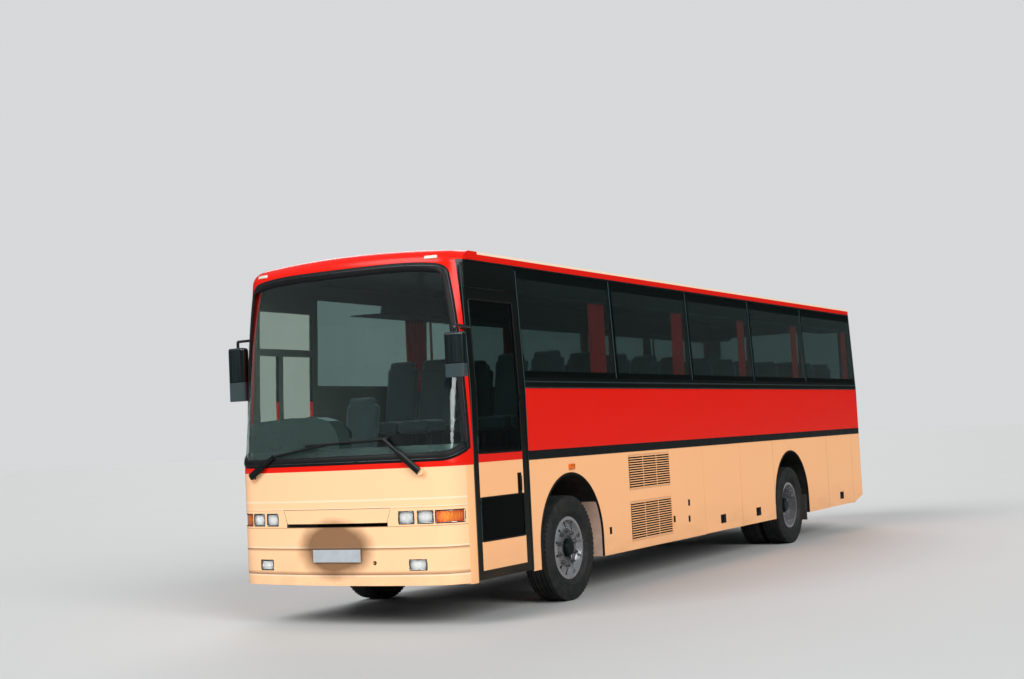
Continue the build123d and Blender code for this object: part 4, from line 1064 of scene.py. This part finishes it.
# How far the windscreen's rubber lies in from the glass's edge, and how flat it is
SEAL_INSET = 0.030
SEAL_FLAT = 0.32
# The upright line that the windscreen bends round
SCREEN_MIDDLE = 1.25
# Foot, bend and top of the doorway's edges
DOORWAY_LEVELS = (0.385, SHOULDER, 3.20)


def from_screen_middle(place):
    """Outward from an upright line behind the windscreen."""
    return Vector((place.x, place.y - FRONT - SCREEN_MIDDLE, 0)).normalized()


def drawn_in(loop, distance):
    """A closed line moved towards its own inside, along the surface that it lies on."""
    middle = sum(loop, Vector()) / len(loop)
    moved = []
    for i, point in enumerate(loop):
        along = (loop[(i + 1) % len(loop)] - loop[i - 1]).normalized()
        inward = along.cross(from_screen_middle(point)).normalized()
        if inward.dot(middle - point) < 0:
            inward.negate()
        moved.append(point + inward * distance)
    return moved


class CoachScreenSeal(Operator):
    """Lays the rubber round the windscreen with a pale strip along it as a painted highlight, and the edges of the door
    and its panes
    """

    bl_idname = "coach.screen_seal"
    bl_label = "Seals"

    def execute(self, context):
        radius = sizes().seal_radius
        rubber = speckled("Seal rubber", rgb(20, 20, 21), 0.5, 150, 0.2, 0.3, 0.0006)
        bright = brushed("Seal strip", rgb(96, 104, 108), 0.3)
        edge = speckled("Door edge", rgb(44, 66, 66), 0.35, 90, 0.2, 0.1)
        seal, strip, pane, door, frames = [bmesh.new() for _ in range(5)]
        rise = radius * SEAL_FLAT * 0.95
        for loop in rim_loops("windscreen", from_screen_middle, 0.75, 0.025):
            add_tube(seal, drawn_in(loop, SEAL_INSET), radius, True, 14, (1.0, SEAL_FLAT), from_screen_middle)
            # A thin pale strip along the ridge of the rubber: a painted highlight.
            raised = [point + from_screen_middle(point) * rise for point in drawn_in(loop, SEAL_INSET * 0.6)]
            add_tube(strip, raised, 0.0032, True, 6)
        piece("windscreen_seal", seal, rubber, 180)
        piece("windscreen_seal_strip", strip, bright, 180)
        for loop in rim_loops("entrance_door_glass", (1, 0, 0), 0.4, 0.03):
            add_tube(pane, [point + Vector((0.002, 0, 0)) for point in loop], 0.008, True)
        piece("door_glass_seal", pane, rubber, 180, "entrance_door")
        front, rear = DOOR_PANEL_Y
        for low, high in DOOR_OUTLINES:
            line = ((front, low), (rear, low), (rear, high), (front, high))
            corners = [Vector((side_x(z) + 0.001, FRONT + y, z)) for y, z in line]
            add_tube(door, evenly(corners, 0.04), 0.004, True, 6)
        piece("door_edges", door, edge, 60, "entrance_door")
        for y in (DOOR_FRONT_EDGE + 0.007, DOOR_REAR_EDGE):
            line = [Vector((side_x(z) + 0.001, FRONT + y, z)) for z in DOORWAY_LEVELS]
            add_tube(frames, line, 0.0045, sides=6)
        piece("door_frame_edges", frames, edge, 60)
        return {"FINISHED"}


POST_PLACES = (3.40, 5.453, 7.50, 9.56)
TRIM_END = REAR - 0.14


def strip_along(bm, z_low, z_high, depth, start, side):
    """A flat moulding with soft edges that follows the flank to the tail."""
    out_low, out_high = side_x(z_low), side_x(z_high)
    rim = 0.25 * depth
    section = (
        (out_low - 0.004, z_low), (out_low + depth - rim, z_low), (out_low + depth, z_low + rim),
        (out_high + depth, z_high - rim), (out_high + depth - rim, z_high), (out_high - 0.004, z_high),
    )
    first, second = [[bm.verts.new((side * x, y, z)) for x, z in section] for y in (start, TRIM_END)]
    add_sleeve(bm, [first, second], False)
    bm.faces.new(first)
    bm.faces.new(second[::-1])


class CoachSideTrim(Operator):
    """Makes the belt, the sill line, the gutter and the post covers on both flanks"""

    bl_idname = "coach.side_trim"
    bl_label = "Side mouldings"

    def execute(self, context):
        depth = sizes().belt_depth
        black = speckled("Belt moulding", rgb(18, 22, 23), 0.35, 90, 0.2, 0.15, 0.0005)
        pale = brushed("Sill line metal", rgb(120, 140, 142), 0.35)
        # Piece, finish, slot, where it starts on the door side and the offside, and its strips: low, high, depth
        for name, finish, slot, starts, strips in (
            ("belt_moulding", black, "black_rubber", (DOOR_REAR_EDGE, 0.42), ((BELT_LOW, BELT_HIGH, depth),)),
            ("sill_line", pale, "bright_metal", (DOOR_REAR_EDGE, 1.37), (
                (SILL_LINE - 0.006, SILL_LINE + 0.006, depth + 0.002), (SILL_LOW - 0.004, SILL_LOW + 0.008, depth),
            )),
            ("gutter", black, "black_rubber", (0.52, 0.52), ((GLAZING_TOP - 0.004, GLAZING_TOP + 0.010, 0.010),)),
        ):
            bm = bmesh.new()
            for side, start in zip((1, -1), starts):
                for strip in strips:
                    strip_along(bm, *strip, FRONT + start, side)
            piece(name, bm, finish, 30)
        bm = bmesh.new()
        for side in (1, -1):
            for place in POST_PLACES:
                ends = (GLASS_LOW + 0.004, GLAZING_TOP - 0.01)
                points = [Vector((side * (side_x(z) + 0.0005), FRONT + place, z)) for z in ends]
                add_tube(bm, points, 0.007, squash=(0.4, 1.0), up=Vector((0, 1, 0)))
        piece("post_covers", bm, speckled("Post rubber", rgb(52, 74, 74), 0.4, 90, 0.2), 60)
        return {"FINISHED"}


ARCH_RADIUS, ARCH_CENTRE = 0.659, 0.585
ARCH_FOOT = 0.374
ARCH_STEPS = 40
# Low and high edge of each louvred panel, and its number of slats
LOUVRES = ((0.457, 0.880, 15), (1.000, 1.377, 13))
LOUVRE_Y = (FRONT_AXLE + 1.340, FRONT_AXLE + 2.425)
LOUVRE_RIM = 0.020
# Half a slat's height over the pitch
SLAT_SHARE = 0.21


class CoachArches(Operator):
    """Makes the rubber lips of the wheel arches and the slats of the louvred panels, with a near black sheet behind the
    slats as painted shade
    """

    bl_idname = "coach.arches"
    bl_label = "Arches and louvres"

    def execute(self, context):
        rubber = speckled("Arch rubber", rgb(18, 22, 22), 0.5, 120, 0.2, 0.3, 0.0006)
        # Near black and matt, for the sheet that stands in for the shade behind the slats
        dark = speckled("Louvre depth", rgb(12, 9, 7), 0.9, 60, 0.3, 0.3, Specular_IOR_Level=0.05)
        cream = paint("Slat paint", [(0, tone("cream"))])
        turns = [math.pi * (1 - k / ARCH_STEPS) for k in range(ARCH_STEPS + 1)]
        line = [(ARCH_RADIUS * math.cos(turn), ARCH_CENTRE + ARCH_RADIUS * math.sin(turn)) for turn in turns]
        line = [(-ARCH_RADIUS, ARCH_FOOT), *line, (ARCH_RADIUS, ARCH_FOOT)]
        lips, slats, shade_sheets = [bmesh.new() for _ in range(3)]
        for axle in (FRONT_AXLE, REAR_AXLE):
            points = [Vector((HALF_WIDTH, axle + y, z)) for y, z in line]
            add_tube(lips, points, 0.012, sides=10, squash=(1.0, 0.75), up=Vector((1, 0, 0)))
        piece("arch_lips", mirrored(lips), rubber, 60)
        near, far = LOUVRE_Y[0] + LOUVRE_RIM, LOUVRE_Y[1] - LOUVRE_RIM
        x = HALF_WIDTH
        for low, high, count in LOUVRES:
            bottom, top = low + LOUVRE_RIM, high - LOUVRE_RIM
            # A dark sheet behind the slats: painted shade.
            add_block(shade_sheets, (x - 0.002, near, bottom), (x + 0.0008, far, top))
            pitch = (top - bottom) / count
            half = pitch * SLAT_SHARE
            for k in range(count + 1):
                z = bottom + k * pitch
                add_block(slats, (x, near, z - half), (x + 0.004, far, z + half), 0.0015, 1)
            for part in (1, 2):
                y = near + (far - near) * part / 3
                add_block(slats, (x, y - 0.005, bottom), (x + 0.003, y + 0.005, top), 0.001, 1)
        piece("louvre_backs", mirrored(shade_sheets), dark, 30, weld=False)
        piece("louvre_slats", mirrored(slats), cream, 30, weld=False)
        return {"FINISHED"}


# Locks on the flank: distance from the front, height, body
LOCKS = (
    (3.06, 0.615, "coach_body"), (4.695, 0.614, "coach_body"), (5.13, 0.772, "coach_body"), (5.12, 0.588, "coach_body"),
    (6.157, 0.512, "luggage_flap_{}_front"), (7.364, 0.516, "luggage_flap_{}_rear"),
    (10.858, 0.516, "luggage_flap_{}_tail"),
)
# Width and height of a lock on the body and on a flap
SMALL_LOCK, LARGE_LOCK = (0.050, 0.072), (0.165, 0.105)
HANDLE_PLACE = 1.205


class CoachLocks(Operator):
    """Makes the recessed locks and the door handle"""

    bl_idname = "coach.locks"
    bl_label = "Locks and handles"

    def execute(self, context):
        black = speckled("Lock plastic", rgb(16, 17, 18), 0.4, 200, 0.2, 0.2, 0.0005)
        x = HALF_WIDTH
        for side, word in ((1, "left"), (-1, "right")):
            for number, (place, z, body) in enumerate(LOCKS):
                wide, tall = LARGE_LOCK if "flap" in body else SMALL_LOCK
                y, reach = FRONT + place, wide * 0.22
                bm = bmesh.new()
                add_block(bm, (x - 0.003, y - wide / 2, z - tall / 2), (x + 0.003, y + wide / 2, z + tall / 2), 0.002)
                add_block(bm, (x - 0.001, y - reach, z - tall * 0.30), (x + 0.009, y + reach, z + tall * 0.18), 0.003)
                for vert in bm.verts:
                    vert.co.x *= side
                piece(f"lock_{word}_{number}", bm, black, body=body.format(word))
        bm = bmesh.new()
        y = FRONT + HANDLE_PLACE
        add_block(bm, (x - 0.004, y - 0.036, 1.105), (x + 0.004, y + 0.036, 1.300), 0.004)
        add_block(bm, (x + 0.002, y - 0.016, 1.135), (x + 0.022, y + 0.016, 1.275), 0.007, 3)
        piece("door_handle", bm, black, body="entrance_door")
        return {"FINISHED"}


REPEATER_PLACE, REPEATER_Z = 2.25, 1.31
MARKER_X, MARKER_Z = (-0.965, 0.95), 3.274


class CoachLampTrim(Operator):
    """Makes the lamp surrounds, the roof markers and the side repeaters"""

    bl_idname = "coach.lamp_trim"
    bl_label = "Lamp trim"

    def execute(self, context):
        black = speckled("Lamp surround", rgb(26, 26, 27), 0.4, 160, 0.2, 0.2, 0.0005)
        chrome = brushed("Lamp bezel", rgb(190, 194, 196), 0.2)
        amber = Finish("Amber lens", tone("amber"), 0.12, Coat_Weight=1.0, Coat_Roughness=0.03)
        amber.colour(amber.mix(amber.noise(40, 4), shade(tone("amber"), 0.6), tone("amber")))
        amber.bump(amber.waves("Y", 60.0), 0.5, 0.002)
        lens = Finish("Marker lens", rgb(236, 226, 205), 0.15, Coat_Weight=1.0)
        lens.colour(lens.mix(lens.noise(60, 3), rgb(200, 180, 150), rgb(250, 244, 230)))
        surrounds, bezels, repeaters, markers = [bmesh.new() for _ in range(4)]
        for loop in rim_loops("front_lamps", (0, -1, 0), 0.3, 0.012):
            add_tube(surrounds, loop, 0.0075, True, 6)
            middle = sum(loop, Vector()) / len(loop)
            inner = [point + (middle - point).normalized() * 0.008 + Vector((0, -0.0045, 0)) for point in loop]
            add_tube(bezels, inner, 0.0030, True, 6)
        piece("lamp_surrounds", surrounds, black, 60)
        piece("lamp_bezels", bezels, chrome, 60)
        add_pad(repeaters, (HALF_WIDTH + 0.009, FRONT + REPEATER_PLACE, REPEATER_Z), (0.011, 0.058, 0.028), 0.008, 3)
        piece("side_repeaters", mirrored(repeaters), amber.material)
        tree = front_skin("windscreen_surround")
        for x in MARKER_X:
            place, normal = met_from_front(tree, x, MARKER_Z)
            block = bmesh.new()
            add_block(block, (-0.062, -0.016, -0.004), (0.062, 0.016, 0.012), 0.007, 3)
            turned = normal.to_track_quat("Z", "Y").to_matrix().to_4x4()
            add_mesh(markers, mesh_from(block, "marker"), Matrix.Translation(place) @ turned)
        piece("roof_markers", markers, lens.material)
        return {"FINISHED"}


PLATE_HALF = (0.26, 0.056)
SCREW_OUT = 0.232
# Name, colour, middle of its thickness, height, half its thickness, how far its screws stand out
PLATES = (
    ("front_plate", rgb(176, 182, 186), FRONT - 0.009, PLATE_Z, 0.004, -0.007),
    ("rear_plate", rgb(222, 176, 40), REAR, 0.60, 0.0006, 0.0012),
)


class CoachPlates(Operator):
    """Puts blank plates on the bumpers"""

    bl_idname = "coach.plates"
    bl_label = "Blank plates"

    def execute(self, context):
        for name, colour, y, z, half, screw in PLATES:
            finish = Finish(name.replace("_", " "), colour, 0.35, Coat_Weight=0.2)
            finish.colour(finish.mix(finish.patches(9, 7, 0.4, 0.8, 0.0, 0.35), colour, shade(colour, 0.5)))
            finish.bump(finish.noise(220, 2), 0.1, 0.0004)
            bm = bmesh.new()
            add_pad(bm, (PLATE_X, y, z), (PLATE_HALF[0], half, PLATE_HALF[1]))
            for x in (PLATE_X - SCREW_OUT, PLATE_X + SCREW_OUT):
                add_tube(bm, [Vector((x, y, z)), Vector((x, y + screw, z))], 0.007, sides=12)
            piece(name, bm, finish.material)
        return {"FINISHED"}


# Soft goods


SEAT_ROWS = 12
SEAT_FIRST, SEAT_PITCH = 2.0, 0.79
SEAT_WIDE = 0.425
DECK = 1.400
CUSHION_TOP = 0.45
AISLE_EDGE = 0.25
RECLINE = math.atan2(0.12, 0.67)
# Each pad of a seat: size, how far it may swell, rounding, place of its middle, lean
SEAT_PADS = (
    ((SEAT_WIDE - 0.02, 0.42, 0.125), 0.014, 0.030, (SEAT_WIDE / 2, 0.22, CUSHION_TOP - 0.068), 0.0),
    ((SEAT_WIDE - 0.02, 0.105, 0.69), 0.014, 0.035, (SEAT_WIDE / 2, 0.495, CUSHION_TOP + 0.255), -RECLINE),
    ((SEAT_WIDE - 0.12, 0.100, 0.17), 0.010, 0.030, (SEAT_WIDE / 2, 0.535, CUSHION_TOP + 0.56), -RECLINE),
)
PAD_VOXEL = 0.010
PAD_FRAMES = 20
# Faces a pad keeps before it is rounded, so that all the seats stay under 200,000 triangles
PAD_FACES = 110


def pad_mesh(size, limit, rounding):
    """A plumped closed pad about the origin: a rounded block that a cloth simulation swells."""
    bm = bmesh.new()
    add_pad(bm, (0, 0, 0), [value / 2 - limit * 0.4 for value in size], rounding, 3)
    made = linked("pad", mesh_from(bm, "pad"))
    remesh = made.modifiers.new("Even", "REMESH")
    remesh.mode = "VOXEL"
    remesh.voxel_size = PAD_VOXEL
    baked(made)
    rest = [vert.co.copy() for vert in made.data.vertices]
    soft = made.modifiers.new("Soft", "CLOTH")
    soft.settings.use_pressure = True
    soft.settings.uniform_pressure_force = sizes().seat_pressure
    soft.settings.effector_weights.gravity = 0
    for step in range(PAD_FRAMES):
        bpy.context.scene.frame_set(step + 1)
    baked(made)
    bpy.context.scene.frame_set(1)
    for vert, start in zip(made.data.vertices, rest):
        move = vert.co - start
        if move.length > limit:
            vert.co = start + move.normalized() * limit
    less = made.modifiers.new("Fewer", "DECIMATE")
    less.ratio = min(1.0, PAD_FACES / len(made.data.polygons))
    baked(made)
    smooth = made.modifiers.new("Round", "SUBSURF")
    smooth.levels = smooth.render_levels = 1
    mesh = baked(made)
    bpy.data.objects.remove(made)
    return mesh


def seat_mesh():
    """One plumped seat: cushion, reclined back and headrest, with its front low corner at the origin."""
    bm = bmesh.new()
    for size, limit, rounding, place, lean in SEAT_PADS:
        add_mesh(bm, pad_mesh(size, limit, rounding), Matrix.Translation(place) @ Matrix.Rotation(lean, 4, "X"))
    mesh = bpy.data.meshes.new("seat")
    bm.to_mesh(mesh)
    bm.free()
    return mesh


class CoachSeats(Operator):
    """Makes the passenger seats and the driver's seat as plumped, covered pads"""

    bl_idname = "coach.seats"
    bl_label = "Seats"

    def execute(self, context):
        cover = cloth("Seat moquette", tone("seat"), shade(tone("seat"), 0.55), 55.0)
        frame_black = speckled("Seat frame", rgb(20, 20, 21), 0.5, 120, 0.2, 0.3)
        mesh = seat_mesh()
        pads, legs, base = [bmesh.new() for _ in range(3)]
        for row in range(SEAT_ROWS):
            y = FRONT + SEAT_FIRST + row * SEAT_PITCH
            for x in (AISLE_EDGE, AISLE_EDGE + SEAT_WIDE, -AISLE_EDGE - SEAT_WIDE, -AISLE_EDGE - 2 * SEAT_WIDE):
                add_mesh(pads, mesh.copy(), Matrix.Translation((x, y, DECK)))
            for left in (AISLE_EDGE, -AISLE_EDGE - 2 * SEAT_WIDE):
                right = left + 2 * SEAT_WIDE
                for low, high, front, rear, foot, top in (
                    (left + 0.05, left + 0.10, 0.13, 0.33, 0.0, 0.32),
                    (right - 0.10, right - 0.05, 0.13, 0.33, 0.0, 0.32),
                    (left + 0.02, right - 0.02, 0.10, 0.36, 0.31, 0.34),
                ):
                    add_block(legs, (low, y + front, DECK + foot), (high, y + rear, DECK + top), 0.006, 1)
        low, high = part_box("driver_seat")
        middle = (low.x + high.x) / 2
        add_block(base, (middle - 0.16, low.y + 0.13, low.z), (middle + 0.16, low.y + 0.34, low.z + 0.32), 0.02)
        mesh.transform(Matrix.Translation((middle - SEAT_WIDE / 2, low.y, low.z)))
        for node, padded, soft, stand, hard in (
            ("passenger_seats", "passenger_seat_pads", pads, "passenger_seat_frames", legs),
            ("driver_seat", "driver_seat_pads", mesh, "driver_seat_base", base),
        ):
            made = piece(padded, soft, cover, 180, weld=False, replaces=node)
            piece(stand, hard, frame_black, weld=False, replaces=node)
        return {"FINISHED"}


# Width of a full curtain, rows of its mesh, and columns for each fold
CURTAIN_WIDE = 0.33
CURTAIN_ROWS = 16
FOLD_STEPS = 10


class CoachCurtains(Operator):
    """Hangs a gathered curtain at each window post"""

    bl_idname = "coach.curtains"
    bl_label = "Curtains"

    def execute(self, context):
        size = sizes()
        weave = cloth("Curtain cloth", tone("curtain"), shade(tone("curtain"), 0.6), 90.0)
        for number, (low, high) in enumerate(curtain_places()):
            span = high - low
            folds = max(2, round(size.curtain_folds * span.y / CURTAIN_WIDE))
            count = folds * FOLD_STEPS
            depth = min(size.fold_depth, span.x * 0.42)
            bm = bmesh.new()
            grid = []
            for row in range(CURTAIN_ROWS + 1):
                t = row / CURTAIN_ROWS
                z = high.z - 0.002 - t * (span.z - 0.004)
                line = []
                for k in range(count + 1):
                    s = k / count
                    swing = math.sin(2 * math.pi * folds * s + 0.7 * math.sin(3 * s + number))
                    deep = depth * (0.65 + 0.35 * t) * (0.85 + 0.15 * math.sin(9 * s + 2 * t + number))
                    x = (low.x + high.x) / 2 + swing * deep * 0.95
                    line.append(bm.verts.new((x, low.y + 0.004 + s * (span.y - 0.008), z)))
                grid.append(line)
            for upper, lower in zip(grid, grid[1:]):
                for k in range(count):
                    bm.faces.new((upper[k], upper[k + 1], lower[k + 1], lower[k]))
            made = piece(f"curtain_{number}", bm, weave, 180, replaces="curtains")
        return {"FINISHED"}


def curtain_places():
    """The box of each curtain solid in the CAD node."""
    bm = welded("curtains")
    left = set(bm.verts)
    boxes = []
    while left:
        group, edge = set(), [min(left, key=lambda vert: vert.index)]
        while edge:
            vert = edge.pop()
            if vert in group:
                continue
            group.add(vert)
            edge += [item.other_vert(vert) for item in vert.link_edges]
        left -= group
        columns = list(zip(*[vert.co for vert in group]))
        boxes.append((Vector([min(column) for column in columns]), Vector([max(column) for column in columns])))
    bm.free()
    return sorted(boxes, key=lambda item: (round(item[0].y, 3), item[0].x))


# Cabin, mirrors and wipers


# Middle of each mirror's glass, half its width, half its height
MIRROR_GLASSES = (((1.365, FRONT + 0.052, 2.365), 0.0825, 0.1725), ((-1.365, FRONT + 0.442, 2.365), 0.085, 0.23))


class CoachCabin(Operator):
    """Makes the mirror glasses"""

    bl_idname = "coach.cabin"
    bl_label = "Mirror glasses"

    def execute(self, context):
        glassy = Finish("Mirror glass", rgb(190, 198, 202), 0.03, Metallic=1.0)
        glassy.rough(glassy.patches(20, 4, 0.4, 0.8, 0.02, 0.10))
        bm = bmesh.new()
        for place, wide, tall in MIRROR_GLASSES:
            add_pad(bm, place, (wide, 0.003, tall), 0.002)
        piece("mirror_glasses", bm, glassy.material)
        return {"FINISHED"}


# Each wiper: spindle, elbow and the two ends of its blade, as x and z
WIPERS = (
    ((0.908, 1.374), (0.552, 1.668), (0.590, 1.670), (-0.300, 1.642)),
    ((-0.985, 1.375), (-0.690, 1.556), (-0.730, 1.550), (-0.060, 1.646)),
)
BLADE_STEPS = 14
# Spine and lip of a blade: stand off the glass, radius, corners, squash
BLADE_PARTS = ((0.026, 0.010, 8, (1.3, 1.0)), (0.012, 0.008, 6, (0.5, 1.6)))


class CoachWipers(Operator):
    """Puts the arm covers, the blades and the pale spindle bosses on the wipers"""

    bl_idname = "coach.wipers"
    bl_label = "Wipers"

    def execute(self, context):
        tree = front_skin("windscreen", "front_panel", "windscreen_surround")
        black = speckled("Wiper arm", rgb(9, 12, 13), 0.4, 90, 0.2, 0.2, 0.0005, Specular_IOR_Level=0.4)
        ahead = Vector((0, -1, 0))

        def on_front(place, stand):
            return met_from_front(tree, *place)[0] + ahead * stand

        arms, bosses = bmesh.new(), bmesh.new()
        for spindle, elbow, first, second in WIPERS:
            foot, knee = on_front(spindle, 0.046), on_front(elbow, 0.042)
            lower = foot.lerp(knee, 0.55)
            add_tube(arms, [foot, lower], 0.034, sides=12, squash=(1.0, 0.4), up=ahead)
            add_tube(arms, [lower, knee], 0.020, sides=12, squash=(1.0, 0.5), up=ahead)
            blade = [Vector(first).lerp(Vector(second), k / BLADE_STEPS) for k in range(BLADE_STEPS + 1)]
            for stand, radius, sides, squash in BLADE_PARTS:
                line = [on_front(place, stand) for place in blade]
                add_tube(arms, line, radius, sides=sides, squash=squash, up=ahead)
            base = on_front(spindle, 0.0)
            add_tube(bosses, [base - ahead * 0.02, base + ahead * 0.039], 0.036, sides=28)
        piece("wiper_covers", arms, black, 50, weld=False)
        # The bosses take the front's paler copy of the cream, painted light.
        piece("wiper_bosses", bosses, paint("Boss paint", [(0, tone("nose"))]), 50)
        return {"FINISHED"}


class CoachMudflaps(Operator):
    """Hangs rubber flaps behind the rear wheels"""

    bl_idname = "coach.mudflaps"
    bl_label = "Mudflaps"

    def execute(self, context):
        rubber = speckled("Mudflap rubber", rgb(64, 60, 58), 0.7, 60, 0.3, 0.4, 0.0015)
        bm = bmesh.new()
        add_block(bm, (0.62, REAR_AXLE + 0.625, 0.27), (1.225, REAR_AXLE + 0.635, 0.62), 0.004, 1)
        piece("mudflaps", mirrored(bm), rubber, 30)
        return {"FINISHED"}


# Add-on


STEPS = (
    CoachStageOperator, CoachBodyFinish, CoachPartsFinish, CoachTyres, CoachWheelFittings, CoachScreenSeal,
    CoachSideTrim, CoachArches, CoachLocks, CoachLampTrim, CoachPlates, CoachSeats, CoachCurtains, CoachCabin,
    CoachWipers, CoachMudflaps,
)
GROUPS = {"coach_colours": CoachColours, "coach_sizes": CoachSizes, "coach_stage": CoachStage}


class CoachPanel(Panel):
    """Sizes, colours and steps of the coach"""

    bl_idname = "VIEW3D_PT_coach"
    bl_label = "Coach"
    bl_space_type = "VIEW_3D"
    bl_region_type = "UI"
    bl_category = "Coach"

    def draw(self, context):
        for key, group in GROUPS.items():
            box = self.layout.box()
            for name in group.__annotations__:
                box.prop(getattr(context.scene, key), name)
        for step in STEPS:
            self.layout.operator(step.bl_idname)


CLASSES = (*GROUPS.values(), *STEPS, CoachPanel)


def register():
    for item in CLASSES:
        bpy.utils.register_class(item)
    for key, group in GROUPS.items():
        setattr(bpy.types.Scene, key, PointerProperty(type=group))


def unregister():
    for key in GROUPS:
        delattr(bpy.types.Scene, key)
    for item in reversed(CLASSES):
        bpy.utils.unregister_class(item)


def main():
    register()
    for step in STEPS:
        group, name = step.bl_idname.split(".")
        getattr(getattr(bpy.ops, group), name)()


if __name__ == "__main__":
    main()
